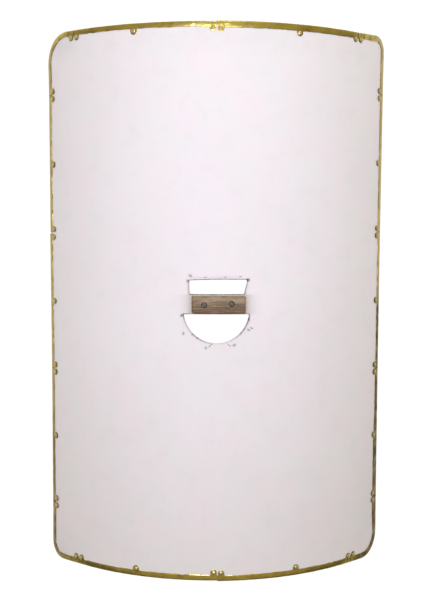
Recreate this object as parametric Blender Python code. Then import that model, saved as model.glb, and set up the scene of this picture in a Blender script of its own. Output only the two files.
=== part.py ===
"""A blank Roman scutum: a bent plywood board faced with canvas and edged with nailed brass.

The shield lies on its two long sides with the bulging face up: +Z is up, +Y is the
shield's top end and X runs across it. Every sheet-like piece is first laid out flat, as
(s, y, h): s round the curve from the centre line, y along the shield and h out of the
canvas face. It is built up there in level layers, like the real laminate, and bent round
the shield's axis in equal flat strips.
"""

import math

import bmesh
import bpy
from mathutils import Matrix, Vector
from mathutils.geometry import delaunay_2d_cdt

# Driving dimensions, in metres.
HEIGHT = 1.05                 # along Y, over the brass
HALF_ARC = 0.378              # from the centre line to the side rim, round the curve
RADIUS = 0.436                # of the canvas face
STRIPS = 19                   # flat strips in the curve; odd, so one lies level at the crown
GAP = 0.0003                  # clearance between pieces that touch

BOARD_THICK = 0.006
CANVAS_THICK = 0.0008
BRASS_THICK = 0.0008
RIM_PLAY = 0.0004             # between the board's rim and the web of the edging
# Width of the canvas glued down behind each opening. The cloth that comes through a slot is
# at most half the slot's height, less the board's edge that it lines.
UPPER_TURN_IN = 0.005
LOWER_TURN_IN = 0.013

CORNER_RADII = {"top_left": 0.060, "top_right": 0.028, "bottom_right": 0.050, "bottom_left": 0.032}
CORNER_STEPS = 5

# Heights out of the canvas face.
CANVAS_BACK = -CANVAS_THICK
BOARD_FRONT = CANVAS_BACK - GAP
BOARD_BACK = BOARD_FRONT - BOARD_THICK
TURN_IN_FRONT = BOARD_BACK - GAP
TURN_IN_BACK = TURN_IN_FRONT - CANVAS_THICK
CHANNEL_FRONT = GAP           # the inner faces of the brass channel
CHANNEL_BACK = BOARD_BACK - GAP
BRASS_FRONT = CHANNEL_FRONT + BRASS_THICK
BRASS_BACK = CHANNEL_BACK - BRASS_THICK

# Edging: the joints between its lengths, and the lugs and nails on each length.
# Every length was cut and set by hand, so no two sides agree.
FLANGE = {                    # how far the channel of each length reaches over each face
    "top_left": 0.0103, "top_right": 0.0125, "bottom_left": 0.0114, "bottom_right": 0.0115,
    "corner_top_left": 0.0110, "corner_top_right": 0.0120,
    "corner_bottom_left": 0.0110, "corner_bottom_right": 0.0117,
    "left_1": 0.0095, "left_2": 0.0095, "left_3": 0.0095,
    "right_1": 0.0106, "right_2": 0.0095, "right_3": 0.0106,
}
LUG_RADIUS = 0.0064
LUG_STEPS = 4
PAIR = 0.0072                 # from a joint to the nail on either side of it
END_MIDDLE = {"top": -0.0044, "bottom": 0.0}
END_JOINT = {"top_left": 0.2985, "top_right": 0.2931, "bottom_left": 0.2974, "bottom_right": 0.2938}
END_SINGLE = {"top_left": 0.1612, "top_right": 0.1538, "bottom_left": 0.1606, "bottom_right": 0.1572}
SIDE_JOINTS = {"left": (0.4071, 0.1361, -0.1359, -0.4118), "right": (0.4130, 0.1405, -0.1366, -0.4040)}
SIDE_SINGLES = {"left": (0.2718, 0.0, -0.2736), "right": (0.2776, 0.0024, -0.2746)}
# From the rim to the middle of a lug. On an end: by the middle joint, by itself, by the outer joint.
SIDE_INSET = 0.0138
END_INSETS = {
    "top_left": (0.0119, 0.0145, 0.0138), "top_right": (0.0140, 0.0158, 0.0131),
    "bottom_left": (0.0158, 0.0147, 0.0140), "bottom_right": (0.0152, 0.0153, 0.0145),
}
JOINT_GAP = 0.0007
WIDE_GAP = 0.0030             # the one joint that was left open, on the left side
CORNER_PROUD = 0.0018         # how far a hand-bent corner stands off the rim
END_PROUD = 0.0012            # the same where the right-hand end lengths meet the left ones
SIDE_PROUD = {"left": (0.0, 0.0012), "right": (0.0018, 0.0015)}  # and at a side's outer joints

NAIL_HEAD = 0.0043
NAIL_CROWN = 0.0021           # the flat top of the dome
NAIL_DOME = 0.0019
NAIL_SHANK = 0.0011           # the nails are square in the shank
NAIL_HOLE = 0.0016
NAIL_BURR = 0.0024            # the riveted point, behind the rear lug
BURR_POINT = 0.0014
BURR_THICK = 0.0008
SQUARE = 4
HEAD_SIDES = 6

# Hand openings, laid out flat.
UPPER_CORNERS = ((-0.0545, 0.0248), (0.0500, 0.0248), (0.0550, 0.0518), (-0.0550, 0.0506))
UPPER_ROUND = 0.0035
UPPER_STEPS = 2
LOWER_CENTRE = Vector((-0.0032, -0.0050))
LOWER_RADIUS = 0.0629
LOWER_TOP = -0.0132
LOWER_STEPS = 12
LOWER_TIP = 0.0025            # the two sharp tips are eased by this much

# Grip block on the bridge between the openings, and its screws.
BLOCK_X = (-0.0495, 0.0505)
BLOCK_Y = (-0.0112, 0.0220)
BLOCK_THICK = 0.014
BLOCK_EASE = 0.0022
SCREWS = {"left": (-0.0265, 0.0053), "right": (0.0250, 0.0078)}
SLOT_TURNS = {"left": -38.0, "right": 80.0}
SCREW_HEAD = 0.0042
SCREW_SHANK = 0.0019
SCREW_HOLE = 0.0022
SCREW_CLEARANCE = 0.0030      # hole in the canvas and board, which lie aslant of the screw
SCREW_SUNK = 0.0008
SCREW_LENGTH = 0.0200
SCREW_POINT = 0.0050
SCREW_TIP = 0.0004
SINK_RADIUS = 0.0057
SLOT_WIDTH = 0.0012
SLOT_DEPTH = 0.0013
SCREW_SIDES = 12

SHADE_ANGLE = 50              # degrees; edges sharper than this are not shaded smooth
FIRST_CORNER = 0.5            # a regular outline starts half a side round from -y
NEXT_CORNER = FIRST_CORNER + 1

STRIP = 2 * HALF_ARC / STRIPS
STRIP_ANGLE = STRIP / RADIUS
RIM = BRASS_THICK + RIM_PLAY
HAIR = 1e-6                   # a distance too small to matter


def material(name, colour, roughness, metallic=0.0):
    """A plain Principled material."""
    made = bpy.data.materials.new(name)
    made.use_nodes = True
    shader = made.node_tree.nodes["Principled BSDF"]
    shader.inputs["Base Color"].default_value = (*colour, 1.0)
    shader.inputs["Roughness"].default_value = roughness
    shader.inputs["Metallic"].default_value = metallic
    made.diffuse_color = (*colour, 1.0)
    return made


def node(name, solid, finish, smooth=False):
    """A named object made from a bmesh, which it uses up."""
    mesh = bpy.data.meshes.new(name)
    solid.to_mesh(mesh)
    solid.free()
    made = bpy.data.objects.new(name, mesh)
    bpy.context.scene.collection.objects.link(made)
    mesh.materials.append(finish)
    if smooth:
        mesh.shade_smooth()
        mesh.set_sharp_from_angle(angle=math.radians(SHADE_ANGLE))
    return made


# Outlines in the flat layout: closed lists of (s, y).

def rounded(corners, radii, steps):
    """An anticlockwise outline with each corner turned on an arc of its own radius."""
    points = []
    for here, radius in enumerate(radii):
        corner = Vector(corners[here])
        before = (Vector(corners[here - 1]) - corner).normalized()
        after = (Vector(corners[(here + 1) % len(corners)]) - corner).normalized()
        half = before.angle(after) / 2
        centre = corner + (before + after).normalized() * radius / math.sin(half)
        start = corner + before * radius / math.tan(half) - centre
        turn = math.pi - 2 * half
        for step in range(steps + 1):
            points.append(centre + Matrix.Rotation(turn * step / steps, 2) @ start)
    return points


def polygon(centre, radius, sides):
    """A regular outline with a flat side towards -y."""
    turns = [2 * math.pi * (side + FIRST_CORNER) / sides for side in range(sides)]
    return [Vector(centre) + radius * Vector((math.sin(t), -math.cos(t))) for t in turns]


def rectangle(side, end):
    """The corners of a rectangle about the centre, from the bottom left one."""
    return [(-side, -end), (side, -end), (side, end), (-side, end)]


def board_rim():
    """The rim of the board and the facing, inside the web of the edging."""
    names = ("bottom_left", "bottom_right", "top_right", "top_left")
    radii = [CORNER_RADII[name] - RIM for name in names]
    return rounded(rectangle(HALF_ARC - RIM, HEIGHT / 2 - RIM), radii, CORNER_STEPS)


def upper_opening(grown):
    """The upper opening, a slightly skewed slot, grown outwards all round."""
    spread = rectangle(grown, grown)
    corners = [(s + ds, y + dy) for (s, y), (ds, dy) in zip(UPPER_CORNERS, spread)]
    return rounded(corners, [UPPER_ROUND + grown] * len(corners), UPPER_STEPS)


def lower_opening(grown):
    """The lower opening, a half moon under a straight top, grown outwards all round."""
    radius = LOWER_RADIUS + grown
    top = LOWER_TOP + grown
    lift = math.asin((top - LOWER_CENTRE.y) / radius)
    sweep = math.pi + 2 * lift
    points = []
    for step in range(LOWER_STEPS + 1):
        angle = math.pi - lift + sweep * step / LOWER_STEPS
        points.append(LOWER_CENTRE + radius * Vector((math.cos(angle), math.sin(angle))))
    first, last = points[0].x, points[-1].x
    points[0].y -= LOWER_TIP
    points[-1].y -= LOWER_TIP
    return [*points, Vector((last - LOWER_TIP, top)), Vector((first + LOWER_TIP, top))]


def inside(point, outline):
    """Whether a point lies in a closed outline, by counting crossings to its right."""
    odd = False
    for before, after in zip(outline, outline[1:] + outline[:1]):
        if (before.y > point.y) != (after.y > point.y):
            share = (point.y - before.y) / (after.y - before.y)
            if point.x < before.x + share * (after.x - before.x):
                odd = not odd
    return odd


def in_any(point, outlines):
    """Whether a point lies in at least one of the outlines."""
    return any(inside(point, outline) for outline in outlines)


# The bend.

def strip_of(s):
    """Number of the flat strip that a place round the curve lies on."""
    return min(max(math.floor((s + HALF_ARC) / STRIP), 0), STRIPS - 1)


def bent(s, y, h, strip):
    """Where a point of the flat layout lies once its strip is bent into place."""
    start = -HALF_ARC + strip * STRIP
    share = (s - start) / STRIP
    reach = RADIUS + h / math.cos(STRIP_ANGLE / 2)
    first, last = start / RADIUS, start / RADIUS + STRIP_ANGLE
    x = reach * (math.sin(first) * (1 - share) + math.sin(last) * share)
    z = reach * (math.cos(first) * (1 - share) + math.cos(last) * share)
    return Vector((x, y, z))


def laminate(outlines, heights, layers_at):
    """A solid made of level layers in the flat layout, then bent.

    The outlines and the strip lines cut the layout into triangles. layers_at gives, for a
    triangle's middle, which of the layers between the heights are solid there. A face is
    made wherever solid meets air.
    """
    places, edges = [], []
    for outline in outlines:
        first = len(places)
        places += [Vector(point) for point in outline]
        count = len(outline)
        edges += [(first + here, first + (here + 1) % count) for here in range(count)]
    for line in range(1, STRIPS):
        s = -HALF_ARC + line * STRIP
        edges.append((len(places), len(places) + 1))
        places += [Vector((s, -HEIGHT)), Vector((s, HEIGHT))]
    places, _, triangles, *_ = delaunay_2d_cdt(places, edges, [], 0, HAIR)

    empty = (False,) * (len(heights) - 1)
    solid_at, across = {}, {}
    for triangle in triangles:
        middle = sum((places[corner] for corner in triangle), Vector((0, 0))) / 3
        layers = layers_at(middle) or empty
        if any(layers):
            solid_at[tuple(triangle)] = layers
        for here in range(3):
            across[triangle[here - 1], triangle[here]] = layers

    solid = bmesh.new()
    made = {}

    def corner(place, level):
        if (place, level) not in made:
            s, y = places[place]
            made[place, level] = solid.verts.new(bent(s, y, heights[level], strip_of(s + HAIR)))
        return made[place, level]

    for triangle, layers in solid_at.items():
        stack = (False, *layers, False)
        for level in range(len(heights)):
            if stack[level] and not stack[level + 1]:
                solid.faces.new([corner(place, level) for place in triangle])
            if stack[level + 1] and not stack[level]:
                solid.faces.new([corner(place, level) for place in reversed(triangle)])
        for here in range(3):
            a, b = triangle[here - 1], triangle[here]
            beyond = across.get((b, a), empty)
            for layer in range(len(layers)):
                if layers[layer] and not beyond[layer]:
                    low, high = layer, layer + 1
                    wall = (corner(a, low), corner(b, low), corner(b, high), corner(a, high))
                    solid.faces.new(wall[:3])
                    solid.faces.new((wall[0], wall[2], wall[3]))
    return solid


# Board and facing.

def board_solid(fixings):
    """One layer of plywood, its openings larger by the canvas that lines them."""
    rim = board_rim()
    room = CANVAS_THICK + GAP
    holes = [upper_opening(room), lower_opening(room), *fixings]

    def layers_at(place):
        return (inside(place, rim) and not in_any(place, holes),)

    return laminate([rim, *holes], (BOARD_BACK, BOARD_FRONT), layers_at)


def facing_solid(fixings):
    """Canvas over the front, through both openings and a little way over the back."""
    rim = board_rim()
    holes = [upper_opening(0.0), lower_opening(0.0), *fixings]
    linings = [upper_opening(CANVAS_THICK), lower_opening(CANVAS_THICK)]
    borders = [upper_opening(UPPER_TURN_IN), lower_opening(LOWER_TURN_IN)]

    def layers_at(place):
        if not inside(place, rim) or in_any(place, holes):
            return None
        if in_any(place, linings):
            return (True, True, True)
        return (in_any(place, borders), False, True)

    heights = (TURN_IN_BACK, TURN_IN_FRONT, CANVAS_BACK, 0.0)
    return laminate([rim, *holes, *linings, *borders], heights, layers_at)


# The edging. A run is a list of points along the rim, each with its inward direction.

def straight_run(start, end, inward, start_proud=0.0, end_proud=0.0):
    """A straight length of rim, which may stand off the board at its ends."""
    inward = Vector(inward)
    return [(Vector(start) - inward * start_proud, inward), (Vector(end) - inward * end_proud, inward)]


def corner_run(x_sign, y_sign, radius, end_joint, side_joint, side_proud):
    """A corner's rim, from the end joint round to the side joint, bowed a little outwards."""
    side, end = HALF_ARC, HEIGHT / 2
    centre = Vector((side - radius, end - radius))
    rim = [(Vector((end_joint, end)), Vector((0, -1)))]
    for step in range(CORNER_STEPS + 1):
        angle = math.pi / 2 * (1 - step / CORNER_STEPS)
        away = Vector((math.cos(angle), math.sin(angle)))
        rim.append((centre + radius * away, -away))
    # A point half way down the straight side lets the bow run out gently.
    rim.append((Vector((side, (end - radius + side_joint) / 2)), Vector((-1, 0))))
    rim.append((Vector((side, side_joint)), Vector((-1, 0))))
    lengths = [0.0]
    for (before, _), (after, _) in zip(rim, rim[1:]):
        lengths.append(lengths[-1] + (after - before).length)
    flip = Vector((x_sign, y_sign))
    run = []
    for (point, inward), length in zip(rim, lengths):
        share = length / lengths[-1]
        bow = CORNER_PROUD * math.sin(math.pi * share) ** 2 + side_proud * share
        run.append(((point - inward * bow) * flip, inward * flip))
    return run


def trimmed(run, start_gap, end_gap):
    """The run shortened at both ends by half of each joint's gap."""
    first = (run[1][0] - run[0][0]).normalized() * start_gap / 2
    last = (run[-2][0] - run[-1][0]).normalized() * end_gap / 2
    return [(run[0][0] + first, run[0][1]), *run[1:-1], (run[-1][0] + last, run[-1][1])]


def offset(run, depth):
    """The points of a run moved inwards."""
    return [point + inward * depth for point, inward in run]


def lug(nail, inward, along, depth):
    """A round lug about a nail, depth inside the flange's inner edge: its foot, arc and other foot."""
    foot = inward * depth
    points = [nail - along * LUG_RADIUS - foot]
    for step in range(LUG_STEPS + 1):
        angle = math.pi * step / LUG_STEPS
        around = inward * math.sin(angle) - along * math.cos(angle)
        points.append(nail + around * LUG_RADIUS)
    points.append(nail + along * LUG_RADIUS - foot)
    return points


def inner_edge(run, nails, flange):
    """The flange's inner edge: the run moved in, with a lug for each nail."""
    edge = offset(run, flange)
    for nail, inward, inset in nails:
        along = Vector((-inward.y, inward.x))
        if along.dot(run[-1][0] - run[0][0]) < 0:
            along = -along
        points = lug(nail, inward, along, inset - flange)
        place = next(
            here for here, point in enumerate(edge)
            if (point - nail).dot(along) > 0 and abs((point - points[0]).dot(inward)) < LUG_RADIUS
        )
        edge[place:place] = points
    return edge


def edging_solid(run, nails, flange):
    """One length of brass: a channel whose web runs along the rim, with lugs on both faces."""
    rim = offset(run, 0.0)
    face = rim + inner_edge(run, nails, flange)[::-1]
    web = rim + offset(run, BRASS_THICK)[::-1]
    holes = [polygon(nail, NAIL_HOLE, SQUARE) for nail, *_ in nails]

    def layers_at(place):
        if not inside(place, face) or in_any(place, holes):
            return None
        return (True, inside(place, web), True)

    heights = (BRASS_BACK, CHANNEL_BACK, CHANNEL_FRONT, BRASS_FRONT)
    return laminate([face, web, *holes], heights, layers_at)


def nail_at(spot, inward, inset):
    """A nail's centre inwards of a spot on the rim, its inward direction and its distance in."""
    inward = Vector(inward)
    return (Vector(spot) + inward * inset, inward, inset)


def end_lengths(end_name, y_sign):
    """The two straight lengths and two corners of the top or the bottom."""
    end = y_sign * HEIGHT / 2
    inward = (0, -y_sign)
    middle = END_MIDDLE[end_name]
    plan = []
    for side_name, x_sign in (("left", -1), ("right", 1)):
        place = f"{end_name}_{side_name}"
        joint = END_JOINT[place]
        insets = END_INSETS[place]
        proud = END_PROUD if side_name == "right" else 0.0
        run = straight_run((middle, end), (x_sign * joint, end), inward, proud)
        marks = (middle + x_sign * PAIR, x_sign * END_SINGLE[place], x_sign * (joint - PAIR))
        nails = [nail_at((mark, end), inward, inset) for mark, inset in zip(marks, insets)]
        plan.append((f"edging_{place}", trimmed(run, JOINT_GAP, JOINT_GAP), nails))
        outer = 0 if y_sign > 0 else -1
        side_joint = abs(SIDE_JOINTS[side_name][outer])
        run = corner_run(x_sign, y_sign, CORNER_RADII[place], joint, side_joint, SIDE_PROUD[side_name][outer])
        nails = [nail_at((x_sign * (joint + PAIR), end), inward, insets[2])]
        nails.append(nail_at((x_sign * HALF_ARC, y_sign * (side_joint + PAIR)), (-x_sign, 0), SIDE_INSET))
        plan.append((f"edging_corner_{place}", trimmed(run, JOINT_GAP, JOINT_GAP), nails))
    return plan


def side_lengths(side_name, x_sign):
    """The three straight lengths of one side, from the top down."""
    rim = x_sign * HALF_ARC
    joints = SIDE_JOINTS[side_name]
    gaps = [JOINT_GAP] * 4
    if side_name == "left":
        gaps[1] = WIDE_GAP
    plan = []
    for number in range(3):
        high, low = joints[number], joints[number + 1]
        start_proud = SIDE_PROUD[side_name][0] if number == 0 else 0.0
        end_proud = SIDE_PROUD[side_name][-1] if number == 2 else 0.0
        run = straight_run((rim, high), (rim, low), (-x_sign, 0), start_proud, end_proud)
        marks = (high - PAIR, SIDE_SINGLES[side_name][number], low + PAIR)
        nails = [nail_at((rim, mark), (-x_sign, 0), SIDE_INSET) for mark in marks]
        length = trimmed(run, gaps[number], gaps[number + 1])
        plan.append((f"edging_{side_name}_{number + 1}", length, nails))
    return plan


# Turned and turned-and-cut pieces.

def turned(profile):
    """A solid turned about +Z from (radius, height, sides), top to bottom, with flat ends.

    Neighbouring rings may differ in their number of sides. The wall between them is made
    triangle by triangle, each a step along the ring whose next corner comes sooner.
    """
    solid = bmesh.new()
    rings = []
    for radius, height, sides in profile:
        outline = polygon((0, 0), radius, sides)
        rings.append([solid.verts.new((point.x, point.y, height)) for point in outline])
    for upper, lower in zip(rings, rings[1:]):
        above = below = 0
        while above < len(upper) or below < len(lower):
            here, under = upper[above % len(upper)], lower[below % len(lower)]
            if (above + NEXT_CORNER) / len(upper) <= (below + NEXT_CORNER) / len(lower):
                above += 1
                solid.faces.new((here, under, upper[above % len(upper)]))
            else:
                below += 1
                solid.faces.new((here, under, lower[below % len(lower)]))
    solid.faces.new(rings[0])
    solid.faces.new(rings[-1][::-1])
    bmesh.ops.triangulate(solid, faces=solid.faces[:])
    return solid


def nail_solid():
    """A dome-headed nail, riveted behind the rear lug; height 0 is the canvas face."""
    seat = BRASS_FRONT + GAP
    back = BRASS_BACK - GAP
    return turned((
        (NAIL_CROWN, seat + NAIL_DOME, HEAD_SIDES),
        (NAIL_HEAD, seat, HEAD_SIDES),
        (NAIL_SHANK, seat, SQUARE),
        (NAIL_SHANK, back, SQUARE),
        (NAIL_BURR, back, SQUARE),
        (BURR_POINT, back - BURR_THICK, SQUARE),
    ))


def strip_frame(s, y):
    """The upright frame at a place on the bent canvas face: its +Z points out of the strip."""
    strip = strip_of(s)
    tilt = (strip - (STRIPS - 1) / 2) * STRIP_ANGLE
    return Matrix.Translation(bent(s, y, 0.0, strip)) @ Matrix.Rotation(tilt, 4, "Y")


def box(x, y, z):
    """A box between the two limits given along each axis."""
    solid = bmesh.new()
    bmesh.ops.create_cube(solid, size=1.0)
    size = [limits[1] - limits[0] for limits in (x, y, z)]
    middle = [sum(limits) / 2 for limits in (x, y, z)]
    bmesh.ops.scale(solid, vec=size, verts=solid.verts[:])
    bmesh.ops.translate(solid, vec=middle, verts=solid.verts[:])
    return solid


def cut(body, tools):
    """The first solid less the others, as a bmesh."""
    stock = node("stock", body, None)
    cutters = [node("cutter", tool, None) for tool in tools]
    for cutter in cutters:
        modifier = stock.modifiers.new("cut", "BOOLEAN")
        modifier.operation = "DIFFERENCE"
        modifier.object = cutter
    shape = stock.evaluated_get(bpy.context.evaluated_depsgraph_get())
    result = bmesh.new()
    result.from_mesh(shape.data)
    for done in (stock, *cutters):
        bpy.data.objects.remove(done)
    return result


def block_solid(seat):
    """The grip block, eased along its upper and upright edges, with two countersunk holes."""
    top = seat + BLOCK_THICK
    block = box(BLOCK_X, BLOCK_Y, (seat, top))
    eased = [edge for edge in block.edges if max(vert.co.z for vert in edge.verts) > seat + HAIR]
    bmesh.ops.bevel(block, geom=eased, offset=BLOCK_EASE, segments=1, affect="EDGES")
    mouth = top + GAP
    holes = []
    for x, y in SCREWS.values():
        hole = turned((
            (SINK_RADIUS, mouth, SCREW_SIDES),
            (SCREW_HOLE, mouth - (SINK_RADIUS - SCREW_HOLE), SCREW_SIDES),
            (SCREW_HOLE, seat - GAP, SCREW_SIDES),
        ))
        bmesh.ops.translate(hole, vec=(x, y, 0), verts=hole.verts[:])
        holes.append(hole)
    return cut(block, holes)


def screw_solid(side_name, seat):
    """A slotted countersunk wood screw, its head just under the block's face."""
    top = seat + BLOCK_THICK - SCREW_SUNK
    tip = top - SCREW_LENGTH
    screw = turned((
        (SCREW_HEAD, top, SCREW_SIDES),
        (SCREW_SHANK, top - (SCREW_HEAD - SCREW_SHANK), SCREW_SIDES),
        (SCREW_SHANK, tip + SCREW_POINT, SCREW_SIDES),
        (SCREW_TIP, tip, SCREW_SIDES),
    ))
    long_way = (-2 * SCREW_HEAD, 2 * SCREW_HEAD)
    slot = box(long_way, (-SLOT_WIDTH / 2, SLOT_WIDTH / 2), (top - SLOT_DEPTH, top + SLOT_DEPTH))
    turn = Matrix.Rotation(math.radians(SLOT_TURNS[side_name]), 4, "Z")
    bmesh.ops.transform(slot, matrix=turn, verts=slot.verts[:])
    screw = cut(screw, [slot])
    bmesh.ops.translate(screw, vec=(*SCREWS[side_name], 0), verts=screw.verts[:])
    return screw


# Assembly.

def stand_on_floor(pieces):
    """Lower every piece together until the shield's side rims touch the floor."""
    floor = min(corner.co.z for piece in pieces for corner in piece.data.vertices)
    for piece in pieces:
        piece.data.transform(Matrix.Translation((0, 0, -floor)))


def build():
    for old in list(bpy.data.objects):
        bpy.data.objects.remove(old)
    plywood = material("birch_plywood", (0.62, 0.47, 0.30), 0.7)
    canvas = material("cotton_canvas", (0.86, 0.83, 0.85), 0.95)
    brass = material("sheet_brass", (0.42, 0.31, 0.08), 0.35, 1.0)
    old_wood = material("weathered_wood", (0.24, 0.18, 0.13), 0.85)
    steel = material("dull_steel", (0.20, 0.18, 0.17), 0.5, 1.0)

    plan = end_lengths("top", 1) + end_lengths("bottom", -1)
    plan += side_lengths("left", -1) + side_lengths("right", 1)
    nails = [nail for _, _, length_nails in plan for nail, *_ in length_nails]
    fixings = [polygon(nail, NAIL_HOLE, SQUARE) for nail in nails]
    fixings += [polygon(place, SCREW_CLEARANCE, HEAD_SIDES) for place in SCREWS.values()]

    pieces = [node("board", board_solid(fixings), plywood)]
    pieces.append(node("facing", facing_solid(fixings), canvas))
    for name, run, length_nails in plan:
        pieces.append(node(name, edging_solid(run, length_nails, FLANGE[name.removeprefix("edging_")]), brass))
    for number, nail in enumerate(nails, start=1):
        solid = nail_solid()
        bmesh.ops.transform(solid, matrix=strip_frame(nail.x, nail.y), verts=solid.verts[:])
        pieces.append(node(f"nail_{number:02d}", solid, brass, smooth=True))

    seat = bent(0.0, 0.0, 0.0, strip_of(0.0)).z + GAP
    pieces.append(node("grip_block", block_solid(seat), old_wood))
    for side_name in SCREWS:
        screw = screw_solid(side_name, seat)
        pieces.append(node(f"grip_screw_{side_name}", screw, steel, smooth=True))
    stand_on_floor(pieces)


build()
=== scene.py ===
# %% [markdown]
# # A blank Roman scutum, lying face up
#
# The object is a replica of the legionary's curved shield, before its painting and its boss:
# a bent plywood board faced with white cotton canvas, edged with fourteen lengths of sheet
# brass, and cut by two hand openings with a grip block screwed on the bridge between them.
#
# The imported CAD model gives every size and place. It is bent in flat strips, so each of its
# pieces is replaced here by a smooth one of the same size, worked out with numpy.

# %% Load the frame
import math

import bmesh
import bpy
import numpy as np
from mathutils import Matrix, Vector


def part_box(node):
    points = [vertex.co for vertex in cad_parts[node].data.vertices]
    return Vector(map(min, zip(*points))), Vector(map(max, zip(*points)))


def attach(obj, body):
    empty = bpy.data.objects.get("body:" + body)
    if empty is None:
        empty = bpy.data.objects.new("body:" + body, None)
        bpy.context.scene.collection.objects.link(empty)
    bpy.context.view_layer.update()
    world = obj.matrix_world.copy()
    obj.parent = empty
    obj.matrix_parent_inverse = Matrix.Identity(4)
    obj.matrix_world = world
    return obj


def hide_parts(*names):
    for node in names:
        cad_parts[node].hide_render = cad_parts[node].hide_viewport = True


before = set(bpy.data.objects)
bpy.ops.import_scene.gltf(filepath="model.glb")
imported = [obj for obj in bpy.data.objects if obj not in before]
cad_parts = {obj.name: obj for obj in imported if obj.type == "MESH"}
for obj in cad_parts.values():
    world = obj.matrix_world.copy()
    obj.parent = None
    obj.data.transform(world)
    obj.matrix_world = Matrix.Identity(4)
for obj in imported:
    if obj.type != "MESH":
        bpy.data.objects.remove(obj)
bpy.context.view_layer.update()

BODY = "root"

# %% [markdown]
# ## The bend
#
# A shield like this is made flat and bent afterwards, so it is modelled that way as well. Each
# piece is worked out in a flat layout: s runs round the curve from the centre line, y along
# the shield, and h out of the canvas face. One function then bends the layout round an axis
# below the floor. The CAD solids are flat between their strip lines, so the smooth face is
# put half-way between the lines, which stand proud of it, and the strips, which lie under it.

# %% Bend the layout
RADIUS = 0.436                # of the canvas face, in metres as is every size here
HALF_ARC = 0.378              # from the centre line to the side rim
STRIPS = 19                   # flat strips in the CAD bend
STRIP_SAG = RADIUS * (1 - math.cos(HALF_ARC / STRIPS / RADIUS))
FACE_RADIUS = RADIUS - STRIP_SAG / 2
AXIS_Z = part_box("facing")[1].z + STRIP_SAG - RADIUS


def table_of(*values):
    """Numbers and arrays side by side: points from their coordinates, or a table from its columns."""
    return np.stack(np.broadcast_arrays(*values), axis=-1).astype(float)


def bend(layout):
    """Bends layout points (s, y, h): x = r sin(s / R), z = axis + r cos(s / R), with r = face + h."""
    s, y, h = np.moveaxis(np.asarray(layout, float), -1, 0)
    reach = FACE_RADIUS + h
    return table_of(reach * np.sin(s / RADIUS), y, AXIS_Z + reach * np.cos(s / RADIUS))


def unbend(points):
    """The layout places of bent points: s from the angle about the axis, h from the distance."""
    x, y, z = np.moveaxis(np.asarray(points, float), -1, 0)
    rise = z - AXIS_Z
    return table_of(RADIUS * np.arctan2(x, rise), y, np.hypot(x, rise) - FACE_RADIUS)


def cad_layout(node):
    """The layout places of a CAD node's vertices."""
    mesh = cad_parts[node].data
    points = np.empty(len(mesh.vertices) * 3, np.float32)
    mesh.vertices.foreach_get("co", points)
    return unbend(points.reshape(-1, 3))


FACING_RISE = cad_layout("facing")[:, 2]
print(f"smooth face {1000 * FACE_RADIUS:.2f} mm from the axis; the CAD facing runs from "
      f"{1000 * FACING_RISE.min():.2f} to {1000 * FACING_RISE.max():.2f} mm about it")

# %% [markdown]
# ## Making a mesh from grids
#
# Every piece is one or more grids of points, each the values of a function of two parameters.
# Grids that share an edge hold the same points there. They are welded into one closed skin,
# whose faces are then turned outwards together. Values that a finish needs, such as the
# layout place or how worn a spot is, are kept on the points as attributes.

# %% Turn grids into a piece
WELD = 2e-6                   # points closer than this are one point


def patch(points, closed=False, **values):
    """A grid of layout points, whose rows may close round, with values of the same shape."""
    return {"points": np.asarray(points, float), "closed": closed, "values": values}


def grid_faces(rows, columns, closed):
    """Four-cornered faces between the neighbours in a grid numbered row by row."""
    row = np.arange(rows - 1)[:, None] * columns
    column = np.arange(columns if closed else columns - 1)[None, :]
    beside = (column + 1) % columns
    corners = [row + column, row + beside, row + columns + beside, row + columns + column]
    return np.stack(np.broadcast_arrays(*corners), axis=-1).reshape(-1, 4)


def on_points(grid, key):
    """A value of a grid's points as one row for each, or zeros where the grid has no such value."""
    rows, columns = grid["points"].shape[:2]
    value = np.asarray(grid["values"].get(key, 0.0), float)
    return np.broadcast_to(value, (rows, columns) + value.shape[2:]).reshape(rows * columns, -1)


def keep_on_points(mesh, key, values):
    """Keeps one number or one place for each point of a mesh as an attribute."""
    kind, item = ("FLOAT", "value") if values.shape[1] == 1 else ("FLOAT_VECTOR", "vector")
    mesh.attributes.new(key, kind, "POINT").data.foreach_set(item, values.ravel())


def put_in(name, data):
    """Puts an object with this data into the scene."""
    made = bpy.data.objects.new(name, data)
    bpy.context.scene.collection.objects.link(made)
    return made


def piece(name, patches, finish, replaces=(), bent=True, sharp=40):
    """Welds grids into one closed, smooth-shaded object that rides on the shield."""
    faces, count = [], 0
    for grid in patches:
        rows, columns = grid["points"].shape[:2]
        faces.append(grid_faces(rows, columns, grid["closed"]) + count)
        count += rows * columns
    layout = np.concatenate([grid["points"].reshape(-1, 3) for grid in patches])
    mesh = bpy.data.meshes.new(name)
    mesh.from_pydata((bend(layout) if bent else layout).tolist(), [], np.concatenate(faces).tolist())
    keep_on_points(mesh, "layout", layout)
    for key in sorted({key for grid in patches for key in grid["values"]}):
        keep_on_points(mesh, key, np.concatenate([on_points(grid, key) for grid in patches]))

    skin = bmesh.new()
    skin.from_mesh(mesh)
    bmesh.ops.remove_doubles(skin, verts=skin.verts[:], dist=WELD)
    bmesh.ops.recalc_face_normals(skin, faces=skin.faces[:])
    open_edges = sum(not edge.is_manifold for edge in skin.edges)
    volume = skin.calc_volume(signed=True)
    skin.to_mesh(mesh)
    skin.free()
    mesh.shade_smooth()
    mesh.set_sharp_from_angle(angle=math.radians(sharp))
    mesh.materials.append(finish)
    made = put_in(name, mesh)
    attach(made, BODY)
    if replaces:
        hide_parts(*replaces)
    print(f"{name}: {len(mesh.polygons)} faces, {open_edges} open edges, {1e6 * volume:.2f} cm3")
    return made


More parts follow.
